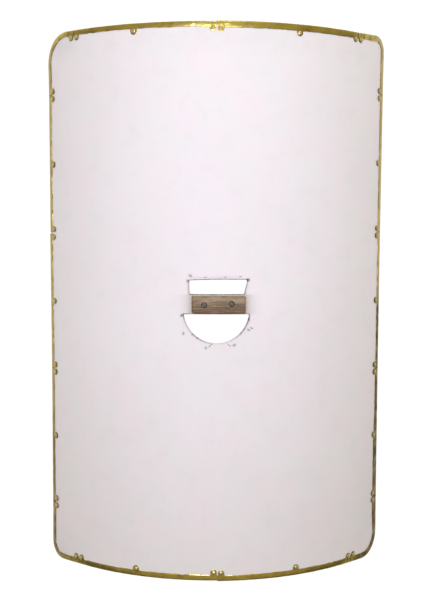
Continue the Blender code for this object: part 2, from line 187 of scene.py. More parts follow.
def eased(share):
    """A share from 0 to 1 with a gentle start and end: 3 x^2 - 2 x^3."""
    share = np.clip(share, 0.0, 1.0)
    return share * share * (3 - 2 * share)


def bell(distance, width):
    """A share that is 1 at no distance and fades with it: exp(-(distance / width)^2)."""
    return np.exp(-(distance / width) ** 2)


def soft_spots(table, s, y):
    """A sum of soft spots. Each row has the place s, y, the size along and across, and the strength."""
    return sum(strength * bell(s - at_s, wide) * bell(y - at_y, high)
               for at_s, at_y, wide, high, strength in table)


def unit(vectors):
    """The vectors at a length of 1."""
    return vectors / np.linalg.norm(vectors, axis=-1, keepdims=True)


def lengths_along(points):
    """The length along a line of points, from its first one to each."""
    return np.concatenate([[0.0], np.cumsum(np.linalg.norm(np.diff(points, axis=0), axis=1))])


def ripples(seed, shortest, longest, *places, count=24):
    """A random relief of about -1 to 1: a sum of sine waves of random direction and phase,
    with wavelengths between the two given ones."""
    dice = np.random.default_rng(seed)
    total = 0.0
    for _ in range(count):
        direction = unit(dice.normal(size=len(places)))
        wavelength = shortest * (longest / shortest) ** dice.random()
        travel = sum(part * place for part, place in zip(direction, places))
        total = total + np.sin(2 * math.pi * (travel / wavelength + dice.random()))
    return total / math.sqrt(count)


# %% [markdown]
# ## Finishes: small helpers
#
# Each finish is a node material. Colours are written as sRGB hex, as a paint chart gives them,
# and one function turns them into the linear values that a shader mixes. A second function
# adds any node, with its settings, its colour stops and its inputs. The nodes that every
# finish needs have short names of their own on top of it.

# %% Colour and node helpers
def linear(code):
    """An sRGB hex colour as linear red, green, blue and an alpha of 1."""
    shares = np.array([int(code[start:start + 2], 16) for start in (1, 3, 5)]) / 255
    return (*np.where(shares <= 0.04045, shares / 12.92, ((shares + 0.055) / 1.055) ** 2.4), 1.0)


def add(tree, kind, inputs=(), stops=(), **settings):
    """Adds a node. An input takes a value, a hex colour, a socket or another node's output."""
    made = tree.nodes.new("ShaderNode" + kind)
    for name, value in settings.items():
        setattr(made, name, value)
    for name, value in dict(inputs).items():
        if isinstance(value, bpy.types.Node):
            value = next(socket for socket in value.outputs if socket.enabled)
        if isinstance(value, bpy.types.NodeSocket):
            tree.links.new(value, made.inputs[name])
        else:
            made.inputs[name].default_value = linear(value) if isinstance(value, str) else value
    for number, (place, colour) in enumerate(stops):
        elements = made.color_ramp.elements
        stop = elements[number] if number < 2 else elements.new(place)
        stop.position = place
        stop.color = linear(colour)
    return made


def kept(tree, name, output="Fac"):
    """A value or a place that is kept on the points of a piece."""
    return add(tree, "Attribute", attribute_name=name).outputs[output]


def part_of(tree, place, axis):
    """One coordinate of a place."""
    return add(tree, "SeparateXYZ", {0: place}).outputs[axis]


def noise(tree, place, scale, detail, roughness=0.5, **inputs):
    """Noise of 0 to 1 with this many features to a metre."""
    inputs |= {"Vector": place, "Scale": scale, "Detail": detail, "Roughness": roughness}
    return add(tree, "TexNoise", inputs)


def drawn_out(tree, place, scale):
    """A place whose coordinates are scaled, so that noise of it is drawn out along the small ones."""
    return add(tree, "Mapping", {"Vector": place, "Scale": scale})


def remap(tree, value, low, high, at_low=0.0, at_high=1.0):
    """A value as it goes from low to high, turned into one from at_low to at_high and held there."""
    return add(tree, "MapRange", {0: value, 1: low, 2: high, 3: at_low, 4: at_high})


def work_out(tree, operation, *values, **settings):
    """Adds, subtracts or multiplies values."""
    return add(tree, "Math", dict(enumerate(values)), operation=operation, **settings)


def ramp(tree, share, *stops):
    """A colour that follows a share through stops."""
    return add(tree, "ValToRGB", {"Fac": share}, stops)


def blend(tree, share, under, over, **settings):
    """A colour laid over another by a share."""
    return add(tree, "Mix", {0: share, 6: under, 7: over}, data_type="RGBA", **settings)


def bumps(tree, height, strength, distance):
    """Small bumps that follow a height."""
    return add(tree, "Bump", {"Height": height, "Strength": strength, "Distance": distance})


def new_finish(name, shade):
    """A node material, with the shader inputs that shade(tree) gives."""
    made = bpy.data.materials.new(name)
    made.use_nodes = True
    tree = made.node_tree
    tree.nodes.clear()
    shader = add(tree, "BsdfPrincipled", shade(tree))
    add(tree, "OutputMaterial", {"Surface": shader})
    print("finish:", name)
    return made


print("linear value of mid grey:", round(float(linear("#808080")[0]), 4))

# %% [markdown]
# ## Finish: cotton canvas
#
# The facing is plain cotton duck, glued down and left white. Close to, it is a matt cloth with
# thick and thin threads running both ways. From a step back it shows faint cool and warm
# clouds where glue and hands have touched it, and painted shade darkens it towards the foot.
# Its threads lie about 0.6 mm apart, too fine to show, so the weave is drawn 2 mm apart and the
# thick threads a few millimetres wide. Three values are kept on the points. The first is a grey:
# painted shade along the openings' edges and at the needle holes, dark frayed bits and thread
# ends, and soft spots of painted shade at the corners, along the top and low on the right. The
# second is a painted shadow, tinted brown like the wood, against the grip block's ends and along
# its upper edge. The third is a pink tinge round the openings and along the stitches.

# %% Make the canvas finish
WEAVE_PITCH = 0.002
WAVE_TURN = 2 * math.pi / 20  # a wave texture of scale 1 repeats every 0.314 m
FOOT_FROM, FOOT_TO = -0.04, -0.50   # painted shade darkens the cloth from just below the middle down to the foot


def cotton_canvas(tree):
    place = kept(tree, "layout", "Vector")
    clouds = remap(tree, noise(tree, place, 6.0, 3.0), 0.35, 0.70, 0.0, 0.10)
    smudges = remap(tree, noise(tree, place, 26.0, 6.0, 0.6), 0.50, 0.76, 0.0, 0.08)
    # Painted shade: the cloth darkens from just below the middle down to the foot.
    foot = remap(tree, part_of(tree, place, "Y"), FOOT_FROM, FOOT_TO, 0.0, 0.11)
    threads = [noise(tree, drawn_out(tree, place, scale), 1.0, 3.0)
               for scale in ((9.0, 300.0, 1.0), (300.0, 9.0, 1.0))]
    slubs = remap(tree, work_out(tree, "ADD", *threads), 0.75, 1.30, 0.0, 0.03)
    mottle = remap(tree, noise(tree, place, 120.0, 3.0), 0.35, 0.65, 0.82, 1.12)
    # The grey kept on the points: painted shade along the openings' edges, at the needle holes and in soft spots
    # on the field, with dark frayed bits.
    soil = work_out(tree, "MULTIPLY", kept(tree, "soil"), mottle, use_clamp=True)

    cloth = ramp(tree, noise(tree, place, 15.0, 4.0), (0.36, "#EEEBF0"), (0.64, "#F2E9F0"))
    # Over the cloth: clouds, smudges with the foot's painted shade, thick threads, the pink tinge, the painted
    # shadow beside the block, and the grey of painted shade and dark bits.
    for share, colour in (
        (clouds, "#DAD2D8"), (work_out(tree, "ADD", smudges, foot), "#B7B1B3"), (slubs, "#BFB6BB"),
        (kept(tree, "blush"), "#C79AA6"), (kept(tree, "rubbed"), "#A4946F"), (soil, "#524D4B"),
    ):
        cloth = blend(tree, share, cloth, colour)

    wave = {"Vector": place, "Scale": WAVE_TURN / WEAVE_PITCH, "Distortion": 0.6, "Detail": 1.0}
    waves = [add(tree, "TexWave", wave, bands_direction=direction) for direction in ("X", "Y")]
    height = work_out(tree, "MULTIPLY_ADD", work_out(tree, "MULTIPLY", *waves), 0.6, slubs)
    return {"Base Color": cloth, "Roughness": 0.92, "Normal": bumps(tree, height, 0.16, 0.0004),
            "Sheen Weight": 0.12, "Sheen Roughness": 0.6, "Specular IOR Level": 0.25}


CANVAS = new_finish("cotton_canvas", cotton_canvas)

# %% [markdown]
# ## Finish: birch plywood
#
# The board is thin birch ply. Its broad faces show pale, close grain along the shield, and its
# cut edges show five plies, light and dark by turns, because every second ply runs across.
# The height in the layout tells the plies apart, so one finish does for faces and edges.

# %% Make the plywood finish
BOARD_FRONT = -0.0011
BOARD_BACK = -0.0071
PLIES = ("#CDB48A", "#9C7C54", "#C8AE84", "#9C7C54", "#CDB48A")


def birch_plywood(tree):
    place = kept(tree, "layout", "Vector")
    depth = remap(tree, part_of(tree, place, "Z"), BOARD_BACK - 1e-5, BOARD_FRONT + 1e-5)
    ply = ramp(tree, depth, *((here / len(PLIES), code) for here, code in enumerate(PLIES)))
    ply.color_ramp.interpolation = "CONSTANT"
    along = drawn_out(tree, place, (1.0, 0.06, 1.0))
    broad = noise(tree, along, 45.0, 4.0, Distortion=0.8)
    fine = noise(tree, along, 420.0, 3.0)
    figure = ramp(tree, broad, (0.35, "#FFFFFF"), (0.50, "#E4D2B4"), (0.62, "#FFFFFF"))
    pores = ramp(tree, fine, (0.40, "#D9C6A6"), (0.55, "#FFFFFF"))
    wood = blend(tree, 0.8, ply, figure, blend_type="MULTIPLY")
    wood = blend(tree, 0.7, wood, pores, blend_type="MULTIPLY")
    blotch = remap(tree, noise(tree, place, 5.0, 3.0), 0.4, 0.75, 0.0, 0.35)
    return {"Base Color": blend(tree, blotch, wood, "#B08F63"), "Roughness": 0.62,
            "Normal": bumps(tree, fine, 0.25, 0.0003)}


PLYWOOD = new_finish("birch_plywood", birch_plywood)

# %% [markdown]
# ## Finish: sheet brass
#
# The edging is thin brass sheet, cut with shears, folded over the rim by hand and rubbed
# bright again. It gives the eye a yellow metal that is never quite even: streaks along its
# length from the rubbing, and brown clouds of tarnish. The streaks follow two values kept on
# the points: how far along the rim a point lies, and how far across the folded sheet. Two more
# darken the metal. One is painted shade that greys both sides, most along the middle of the
# flange. The other is grime at the joints' cut ends, grime and painted shade in a ring round
# each nail head, and painted shade low down on both sides, more on the right.

# %% Make the brass finish
def sheet_brass(tree):
    grime = kept(tree, "grime")
    sheet = add(tree, "CombineXYZ", {0: kept(tree, "along"), 1: kept(tree, "across")})
    clouds = noise(tree, sheet, 34.0, 5.0, 0.6)
    streaks = noise(tree, drawn_out(tree, sheet, (0.05, 1.0, 1.0)), 900.0, 4.0)
    metal = ramp(tree, clouds, (0.28, "#9E8A50"), (0.46, "#C2AF5B"), (0.66, "#D4C26A"), (0.80, "#C2AC56"))
    metal = blend(tree, remap(tree, streaks, 0.35, 0.7, 0.0, 0.45), metal, "#8F7548")
    # Painted shade greys the brass on both sides.
    metal = blend(tree, kept(tree, "tarnish"), metal, "#A08C78")
    # Grime at the joints' ends, and painted shade with grime round the nails and low on the sides, darken and
    # roughen the metal.
    rough = work_out(tree, "MULTIPLY_ADD", grime, 0.3, remap(tree, clouds, 0.3, 0.75, 0.34, 0.25))
    return {"Base Color": blend(tree, grime, metal, "#43371D"), "Metallic": 1.0, "Roughness": rough,
            "Normal": bumps(tree, streaks, 0.2, 0.0002)}


def nail_brass(tree):
    """Pale, polished nail heads: brass with more zinc in it, bright on top, darkened by painted shade and grime
    round the foot of the dome, on both sides and at the middle of the top.
    """
    grime = kept(tree, "grime")
    spots = noise(tree, kept(tree, "layout", "Vector"), 420.0, 3.0)
    metal = blend(tree, grime, ramp(tree, spots, (0.35, "#C6B886"), (0.60, "#DACEA0")), "#857241")
    return {"Base Color": metal, "Metallic": 1.0, "Roughness": remap(tree, grime, 0.0, 1.0, 0.46, 0.7),
            "Normal": bumps(tree, spots, 0.15, 0.0002)}


BRASS = new_finish("sheet_brass", sheet_brass)
NAIL_BRASS = new_finish("nail_brass", nail_brass)

# %% [markdown]
# ## The rim
#
# The shield's outline is a tall rectangle with four corners that were cut by eye, each to a
# radius of its own. The rim is measured by its length, anticlockwise from the middle of the
# bottom, so that a length of edging is simply a stretch of it. Only the corners need points:
# between them the rim is straight, and interpolation follows it exactly.

# %% Lay out the rim
HALF_HEIGHT = 0.525
# Side, end and radius of each corner, from the lower right one to the lower left one.
CORNERS = ((1, -1, 0.050), (1, 1, 0.028), (-1, 1, 0.060), (-1, -1, 0.032))
CORNER_POINTS = 91
RIM_STEP = 0.0005             # between the places that lengths are looked up from


def rim_table():
    """Points on the rim, the direction out of it as an angle, and the length to each point."""
    points, turns = [[(0.0, -HALF_HEIGHT)]], [[-math.pi / 2]]
    for number, (side, end, radius) in enumerate(CORNERS):
        turn = math.radians(90) * (number - 1) + np.linspace(0, math.pi / 2, CORNER_POINTS)
        centre = np.array([side * (HALF_ARC - radius), end * (HALF_HEIGHT - radius)])
        points.append(centre + radius * table_of(np.cos(turn), np.sin(turn)))
        turns.append(turn)
    points.append([(0.0, -HALF_HEIGHT)])
    turns.append([3 * math.pi / 2])
    points = np.concatenate(points)
    return points, np.concatenate(turns), lengths_along(points)


RIM_POINTS, RIM_TURNS, RIM_LENGTHS = rim_table()
RIM_LENGTH = RIM_LENGTHS[-1]


def rim_at(length, inset=0.0):
    """Layout places (s, y) at lengths along the rim, moved into the shield by inset."""
    turn = np.interp(length, RIM_LENGTHS, RIM_TURNS)
    s = np.interp(length, RIM_LENGTHS, RIM_POINTS[:, 0]) - inset * np.cos(turn)
    y = np.interp(length, RIM_LENGTHS, RIM_POINTS[:, 1]) - inset * np.sin(turn)
    return s, y


RIM_SAMPLES = np.arange(0.0, RIM_LENGTH, RIM_STEP)
RIM_PLACES = table_of(*rim_at(RIM_SAMPLES))


def rim_length_of(places):
    """How far along the rim each layout place (s, y) is, by its nearest point of the rim."""
    away = np.linalg.norm(np.asarray(places)[:, None, :2] - RIM_PLACES[None], axis=-1)
    return RIM_SAMPLES[away.argmin(axis=1)]


def rim_middle(number):
    """The length at the middle of a corner's arc."""
    return RIM_LENGTHS[1 + CORNER_POINTS * number + CORNER_POINTS // 2]


print(f"the rim is {RIM_LENGTH:.3f} m round")

# %% [markdown]
# ## The openings
#
# A hand grips the bridge between two openings: a slot above, and a half moon below. They were
# cut by hand, so the slot is a little skewed with a bowed top. Each outline is made twice, as
# it shows and grown by the width of the canvas turned in behind it. Everything at an opening
# lies between those two outlines, so one share says how far from the edge a point is. All the
# outlines have their points on four sides, to match the sides of the cell around them.

# %% Lay out the openings
TURN_IN = {"upper": 0.005, "lower": 0.013}   # a slot yields less cloth to turn in than a half moon
UPPER_CORNERS = ((-0.0545, 0.0248), (0.0500, 0.0248), (0.0550, 0.0518), (-0.0550, 0.0506))
UPPER_ROUND = 0.0032
UPPER_BOW = 0.0009
LOWER_CENTRE = np.array((-0.0032, -0.0050))
LOWER_RADIUS = 0.0629
LOWER_TOP = -0.0132
LOWER_TIP = 0.0016
CELL_SIDE = (-0.088, 0.083)   # the cells round the openings, from left to right
CELL_RISE = {"lower": (-0.094, 0.0058), "upper": (0.0058, 0.078)}
CELL_COUNTS = {"lower": (96, 58, 96, 58), "upper": (96, 44, 96, 44)}   # bottom, right, top, left


def spread(points, count):
    """Even places along a line of points, without its last one."""
    points = np.asarray(points, float)
    length = lengths_along(points)
    at = np.linspace(0.0, length[-1], count + 1)[:-1]
    return table_of(*(np.interp(at, length, values) for values in points.T))


def arc(centre, radius, start, end, count=13):
    """Points on an arc, its angles in degrees."""
    turn = np.radians(np.linspace(start, end, count))
    return np.asarray(centre) + radius * table_of(np.cos(turn), np.sin(turn))


def upper_sides(grown):
    """The slot's four sides, each from the middle of one rounded corner to the next."""
    corners = np.array(UPPER_CORNERS) + grown * np.array([(-1, -1), (1, -1), (1, 1), (-1, 1)])
    radius = UPPER_ROUND + grown
    towards = radius * np.array([(1, 1), (-1, 1), (-1, -1), (1, -1)])
    rounds = [arc(corners[k] + towards[k], radius, 180 + 90 * k, 270 + 90 * k) for k in range(4)]
    sides = [np.concatenate([rounds[k][6:], rounds[(k + 1) % 4][:7]]) for k in range(4)]
    top = np.linspace(rounds[2][-1], rounds[3][0], 25)
    top[:, 1] += UPPER_BOW * np.sin(np.linspace(0, math.pi, 25))
    sides[2] = np.concatenate([rounds[2][6:-1], top, rounds[3][1:7]])
    return sides


def lower_sides(grown):
    """The half moon's sides: three stretches of its arc, and the straight top."""
    radius, top = LOWER_RADIUS + grown, LOWER_TOP + grown
    lift = math.degrees(math.asin((top - LOWER_TIP - LOWER_CENTRE[1]) / radius))
    right = arc(LOWER_CENTRE, radius, -45, lift, 60)
    left = arc(LOWER_CENTRE, radius, 180 - lift, 225, 60)
    over = [right[-1], (right[-1, 0] - LOWER_TIP, top), (left[0, 0] + LOWER_TIP, top), left[0]]
    return [arc(LOWER_CENTRE, radius, 225, 315, 90), right, np.array(over), left]


def cell_outline(name):
    """The rectangle round an opening, side by side from its bottom left corner."""
    (left, right), (low, high) = CELL_SIDE, CELL_RISE[name]
    corners = [(left, low), (right, low), (right, high), (left, high), (left, low)]
    sides = [spread(corners[k:k + 2], CELL_COUNTS[name][k]) for k in range(4)]
    return np.concatenate(sides)


BLOCK_LOW, BLOCK_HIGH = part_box("grip_block")
BLOCK_X = (BLOCK_LOW.x, BLOCK_HIGH.x)
BLOCK_Y = (BLOCK_LOW.y, BLOCK_HIGH.y)

OPENINGS = {}
for opening, sides_of in (("upper", upper_sides), ("lower", lower_sides)):
    edge, grown = (
        np.concatenate([spread(side, count) for side, count in zip(sides_of(width), CELL_COUNTS[opening])])
        for width in (0.0, TURN_IN[opening])
    )
    OPENINGS[opening] = {"edge": edge, "grown": grown, "cell": cell_outline(opening)}


def round_opening(opening, width):
    """The outline that lies a width outside an opening's edge. The width may vary round it."""
    share = np.asarray(width)[..., None] / TURN_IN[opening]
    return OPENINGS[opening]["edge"] * (1 - share) + OPENINGS[opening]["grown"] * share


def frame_outline():
    """The rectangle round both cells together, from its bottom left corner."""
    lower, upper = (OPENINGS[name]["cell"] for name in ("lower", "upper"))
    bottom, right, top, _ = CELL_COUNTS["lower"]
    return np.concatenate([lower[:bottom + right], upper[bottom:], lower[bottom + right + top:]])


def outer_rim(inset):
    """The rim with as many points on each side as the frame, from the bottom left corner."""
    across, rise = CELL_COUNTS["lower"][0], CELL_COUNTS["lower"][1] + CELL_COUNTS["upper"][1]
    stops = [rim_middle(3) - RIM_LENGTH, *(rim_middle(number) for number in range(4))]
    counts = (across, rise, across, rise)
    lengths = [np.linspace(stops[k], stops[k + 1], counts[k], endpoint=False) for k in range(4)]
    return table_of(*rim_at(np.concatenate(lengths) % RIM_LENGTH, inset))


print("points round the frame:", len(frame_outline()), "and the rim:", len(outer_rim(0.0)))

# %% [markdown]
# ## The canvas facing
#
# The cloth is one sheet: glued over the front, its edge under the brass, and at each opening
# rounded over the board's corner, taken down the cut edge, and turned in behind. It is made
# the way one would draw its section. A profile, from the front over the edge to the turned-in
# hem and back along the inside, is carried round each opening. Ring-shaped grids then fill
# the face out to the rim, on the front and again on the underside. The hem is cut a little
# unevenly, and snipped along the curve so that it lies flat.

# %% Rings and profiles
RIM_UNDER = 0.0012            # the board and canvas stop this far inside the edging's outer face
CANVAS_THICK = 0.0008
HEM_FRONT = -0.0074
HEM_BACK = -0.0082
HEM_SNIPS = (-160, -140, -121, -104, -83, -64, -42, -22)   # angles about the half moon's centre
ROUND_OVER = 0.0016
LOW_WAVE = 0.00011            # slow undulation of the glued cloth
PUCKER = 0.00030              # how deep a stitch pulls the cloth in at its needle hole
FOLDS = 0.00010               # the small folds round that hole
FRONT_ROWS = 56
CELL_ROWS = 24
HIDDEN_ROWS = 20
HIDDEN_CELL_ROWS = 8


def field(inner, outer, rows, growth=1.0):
    """Places from one outline to another of as many points: p = inner + t^growth (outer - inner)."""
    share = np.linspace(0.0, 1.0, rows)[:, None, None] ** growth
    return inner + share * (outer - inner)


def raised(places, height):
    """Layout points from places (s, y) and a height or heights."""
    return table_of(places[..., 0], places[..., 1], height)


def ring(places, height, **values):
    """A closed grid of places at a height or heights, with its values."""
    return patch(raised(places, height), closed=True, **values)


def quarter(centre, radius, start, end, count):
    """Profile points (width, height) on an arc about a centre, its angles in degrees."""
    turn = np.radians(np.linspace(start, end, count))
    return table_of(centre[0] - radius * np.cos(turn), centre[1] + radius * np.sin(turn))


def line(start, end, count):
    """Evenly spaced profile points after the start, up to the end."""
    return np.linspace(start, end, count + 1)[1:]


def shoelace(outline):
    """The area inside a closed outline."""
    s, y = outline.T
    return abs(np.dot(s, np.roll(y, -1)) - np.dot(y, np.roll(s, -1))) / 2


# The stitches that show, each as the places (s, y) that its thread passes over, between the
# two needle holes where it goes under the cloth.
STITCHES = (
    ("hook", ((-0.0530, 0.0600), (-0.0507, 0.0597), (-0.0509, 0.0567))),
    ("over_left", ((-0.0262, 0.0563), (-0.0229, 0.0567))),
    ("over_middle", ((0.0118, 0.0568), (0.0152, 0.0572))),
    ("over_right", ((0.0399, 0.0576), (0.0433, 0.0578))),
    ("tip_left", ((-0.0698, -0.0162), (-0.0670, -0.0140))),
    ("low_left", ((-0.0657, -0.0507), (-0.0652, -0.0480))),
    ("under_left", ((-0.0228, -0.0780), (-0.0229, -0.0742))),
    ("under_left_leg", ((-0.0168, -0.0742), (-0.0120, -0.0690))),
    ("under_right", ((0.0287, -0.0722), (0.0325, -0.0690))),
    ("under_right_leg", ((0.0232, -0.0730), (0.0180, -0.0688))),
    ("side_right", ((0.0618, -0.0379), (0.0650, -0.0401))),
    ("side_right_leg", ((0.0600, -0.0440), (0.0556, -0.0410))),
)
NEEDLE_HOLES = np.array([end for _, path in STITCHES for end in (path[0], path[-1])])


def canvas_relief(s, y):
    """Slow undulation, which fades towards the edging, with a pucker at every needle point."""
    inset = np.minimum(HALF_ARC - np.abs(s), HALF_HEIGHT - np.abs(y))
    relief = LOW_WAVE * (1 + 0.8 * ripples(3, 0.045, 0.24, s, y)) * eased((inset - 0.012) / 0.03)
    for number, (hole_s, hole_y) in enumerate(NEEDLE_HOLES):
        away = np.hypot(s - hole_s, y - hole_y)
        folds = np.cos(5 * np.arctan2(y - hole_y, s - hole_s) + number)
        relief = relief - PUCKER * bell(away, 0.0011)
        relief = relief + FOLDS * folds * bell(away, 0.005) * eased(away / 0.0025)
    return relief


# Dark frayed bits and thread ends: place s, y, size along and across, and strength.
SOILED = (
    (0.0556, 0.0514, 0.0034, 0.0026, 1.1),
    (-0.0571, 0.0492, 0.0027, 0.0027, 0.75),
    (-0.0489, -0.0511, 0.0014, 0.0014, 0.7),
    (-0.0387, -0.0576, 0.0013, 0.0013, 0.6),
    (0.0585, -0.0235, 0.0014, 0.0032, 0.62),
    (-0.0692, -0.0158, 0.0021, 0.0021, 1.0),
    (0.0592, -0.0160, 0.0014, 0.0014, 0.2),
    (-0.0625, -0.0135, 0.0060, 0.0008, 0.5),
    (-0.0528, 0.0595, 0.0036, 0.0034, 0.36),
    (-0.0655, -0.0494, 0.0030, 0.0032, 0.34),
    (-0.0228, -0.0762, 0.0042, 0.0034, 0.22),
    (0.0300, -0.0712, 0.0034, 0.0028, 0.36),
    (0.0630, -0.0393, 0.0024, 0.0016, 0.40),
    (0.0572, -0.0424, 0.0022, 0.0018, 0.45),
)
# Painted shade, a dark point, at every needle hole.
HOLE_SHADE = tuple((*hole, 0.0009, 0.0009, 0.35) for hole in NEEDLE_HOLES)
# Soft spots of painted shade on the wide field, in the same terms: at the corners, along the top
# and low on the right.
FIELD_SHADE_SPOTS = (
    (-0.335, 0.510, 0.032, 0.030, 0.10),
    (0.0, 0.500, 0.26, 0.026, 0.040),
    (-0.340, -0.500, 0.040, 0.040, 0.045),
    (0.345, -0.420, 0.040, 0.130, 0.035),
)
# How dark the painted shade along the half moon's edge is, by the angle about its centre in degrees.
LINE_TURN = (-180, -172, -160, -145, -125, -108, -90, -76, -58, -42, -26, -14, -4)
LINE_LEVEL = (0.90, 0.80, 0.30, 0.28, 0.58, 0.52, 0.06, 0.20, 0.30, 0.66, 0.70, 0.76, 0.10)


def edge_shade_line(s, y):
    """How dark the painted shade along an edge is, and how wide: both change from side to side."""
    turn = np.degrees(np.arctan2(y - LOWER_CENTRE[1], s - LOWER_CENTRE[0]))
    half_moon = np.interp(turn, LINE_TURN, LINE_LEVEL)
    # Its straight top is faint, but for the two tips.
    tip = np.where(s < 0, 0.85, 0.45)
    straight = tip + (0.15 - tip) * eased((0.058 - np.abs(s)) / 0.008)
    # The slot is darkest along its long sides. At its two ends the line is wider and fainter.
    left_end = eased((-0.0530 - s) / 0.002) * (y < 0.0495)
    right_end = eased((s - 0.0500) / 0.004) * (y < 0.0490)
    parting = CELL_RISE["upper"][0]
    level = np.where(y > parting, 0.78 - 0.40 * left_end - 0.42 * right_end, half_moon)
    level = np.where((y < parting) & (y > LOWER_TOP - 0.0012), straight, level)
    return level, np.where(y > parting, 0.0012 + 0.0016 * left_end + 0.0008 * right_end, 0.0016)


def soil_and_shade_at(places, away):
    """How grey the cloth is: painted shade along the edge, fading with the distance, dark frayed bits, and
    painted shade at the needle holes.
    """
    s, y = places[..., 0], places[..., 1]
    level, width = edge_shade_line(s, y)
    uneven = 0.90 + 0.12 * ripples(8, 0.004, 0.03, s, y)
    soil = level * uneven * bell(np.maximum(away, 0), width) + soft_spots(SOILED + HOLE_SHADE, s, y)
    return np.clip(soil, 0, 1)


def field_shade(places):
    """How grey the wide field is: soft spots of painted shade, made uneven by ripples."""
    s, y = places[..., 0], places[..., 1]
    return np.clip(soft_spots(FIELD_SHADE_SPOTS, s, y) * (1 + 0.35 * ripples(17, 0.02, 0.08, s, y)), 0, 1)


def block_shade_at(places):
    """How brown the cloth is with painted shadow, tinted like the wood: strongest against the ends of the block,
    and along its upper edge.
    """
    s, y = places[..., 0], places[..., 1]
    # Painted shadow on the cloth: beside the block's ends, tinted brown like the wood, and on the strip along
    # its upper edge.
    level_with = eased((BLOCK_Y[1] + 0.0045 - y) / 0.005) * eased((y - BLOCK_Y[0] + 0.004) / 0.004)
    past = np.maximum(np.where(s < 0, BLOCK_X[0] - s, s - BLOCK_X[1]), 0)
    ends = np.where(s < 0, 0.68, 0.80) * np.exp(-past / np.where(s < 0, 0.0095, 0.0085))
    ends = ends * level_with * (np.abs(s) > 0.045)
    over = 0.47 * eased((y - BLOCK_Y[1] + 0.004) / 0.002) * eased((0.0262 - y) / 0.0008)
    over = over * eased((0.055 - np.abs(s)) / 0.003)
    cloudy = 0.92 + 0.10 * ripples(12, 0.006, 0.03, s, y)
    return np.clip(np.maximum(ends, over) * cloudy, 0, 1)


def blush_at(places, width):
    """How pink the cloth is: a faint line through the stitches above the slot, another left of the
    half moon, and a tinge round both openings."""
    s, y = places[..., 0], places[..., 1]
    holes = NEEDLE_HOLES[:8]
    row = np.interp(s, holes[1:, 0], holes[1:, 1])
    seam = 0.30 * bell(y - row, 0.0008) * (s > holes[1, 0]) * (s < holes[7, 0] + 0.004)
    drop = 0.16 * bell(s + 0.0652, 0.0007) * (y < -0.018) * (y > -0.050)
    tinge = 0.07 * bell(np.maximum(width, 0), 0.006) * (1 + 0.5 * ripples(9, 0.006, 0.04, s, y))
    return seam + drop + tinge


def edge_profile(hem):
    """The cloth's section at an opening, with a hem of some width, as (width outside the edge, height)."""
    high, low, inner = -ROUND_OVER, HEM_BACK + ROUND_OVER, ROUND_OVER - CANVAS_THICK
    parts = [
        quarter((ROUND_OVER, high), ROUND_OVER, 90, 0, 7), line((0, high), (0, low), 3),
        quarter((ROUND_OVER, low), ROUND_OVER, 0, -90, 5)[1:],
        line((ROUND_OVER, HEM_BACK), (hem, HEM_BACK), 8), line((hem, HEM_BACK), (hem, HEM_FRONT), 1),
        line((hem, HEM_FRONT), (ROUND_OVER, HEM_FRONT), 4),
        quarter((ROUND_OVER, low), inner, -90, 0, 4)[1:], line((CANVAS_THICK, low), (CANVAS_THICK, high), 2),
        quarter((ROUND_OVER, high), inner, 0, 90, 4)[1:],
    ]
    profile = np.concatenate(parts)
    return profile[:, 0], profile[:, 1]


def hem_width(opening):
    """The hem's width round an opening as a share of the full one: uneven, and snipped on the curve."""
    edge = OPENINGS[opening]["edge"]
    share = 0.93 + 0.035 * ripples(21, 0.008, 0.06, edge[:, 0], edge[:, 1])
    if opening == "lower":
        turn = np.degrees(np.arctan2(*(edge - LOWER_CENTRE).T[::-1]))
        snipped = sum(0.5 * bell(turn - snip, 1.8) for snip in HEM_SNIPS)
        share = np.where(edge[:, 1] < LOWER_TOP - 0.004, share - snipped, share)
    return np.clip(share, 0.3, 1.0)


print(f"{len(STITCHES)} stitches, {len(SOILED)} dark bits round the openings, {len(HEM_SNIPS)} snips in the hem")

# %% Stretch the canvas
SEEN_POINTS = 15              # of an opening's profile, before it goes out of sight behind
LINE_START = 0.0004           # from an edge to where its line of painted shade starts to fade


def canvas_patches():
    """The grids of the cloth: openings with their hems, the faces of the cells, and the field."""
    grids = []
    for name, opening in OPENINGS.items():
        widths, heights = edge_profile(TURN_IN[name])
        hem = np.clip((widths - ROUND_OVER) / (TURN_IN[name] - ROUND_OVER), 0, 1)[:, None]
        width = widths[:, None] * (1 - hem * (1 - hem_width(name)))
        places = round_opening(name, width)
        behind = np.clip((-heights - ROUND_OVER) / 0.004, 0, 1)[:, None]
        soil = soil_and_shade_at(places, np.where(heights[:, None] > HEM_FRONT, 0, width)) * (1 - 0.5 * behind)
        seen = (np.arange(len(widths)) < SEEN_POINTS)[:, None]
        grids.append(ring(places, heights[:, None], soil=soil * seen, blush=0.07,
                          rubbed=block_shade_at(places) * (1 - behind)))

        start = round_opening(name, np.full(len(opening["edge"]), ROUND_OVER))
        for rows, height in ((CELL_ROWS, 0.0), (HIDDEN_CELL_ROWS, -CANVAS_THICK)):
            places = field(start, opening["cell"], rows, 1.15)
            lift = canvas_relief(*places.T).T * eased(np.linspace(0, 5, rows))[:, None]
            width = np.linalg.norm(places - opening["edge"], axis=-1) - LINE_START
            grids.append(ring(places, height + lift, soil=soil_and_shade_at(places, width),
                              blush=blush_at(places, width), rubbed=block_shade_at(places)))
    rim = outer_rim(RIM_UNDER)
    for rows, height in ((FRONT_ROWS, 0.0), (HIDDEN_ROWS, -CANVAS_THICK)):
        places = field(frame_outline(), rim, rows, 1.2)
        lift = canvas_relief(*places.T).T * eased(np.linspace(rows / 3, 0, rows))[:, None]
        grids.append(ring(places, height + lift, soil=field_shade(places)))
    grids.append(ring(np.stack([rim, rim]), [[0.0], [-CANVAS_THICK]]))
    return grids


canvas = piece("canvas_facing", canvas_patches(), CANVAS, ["facing"])

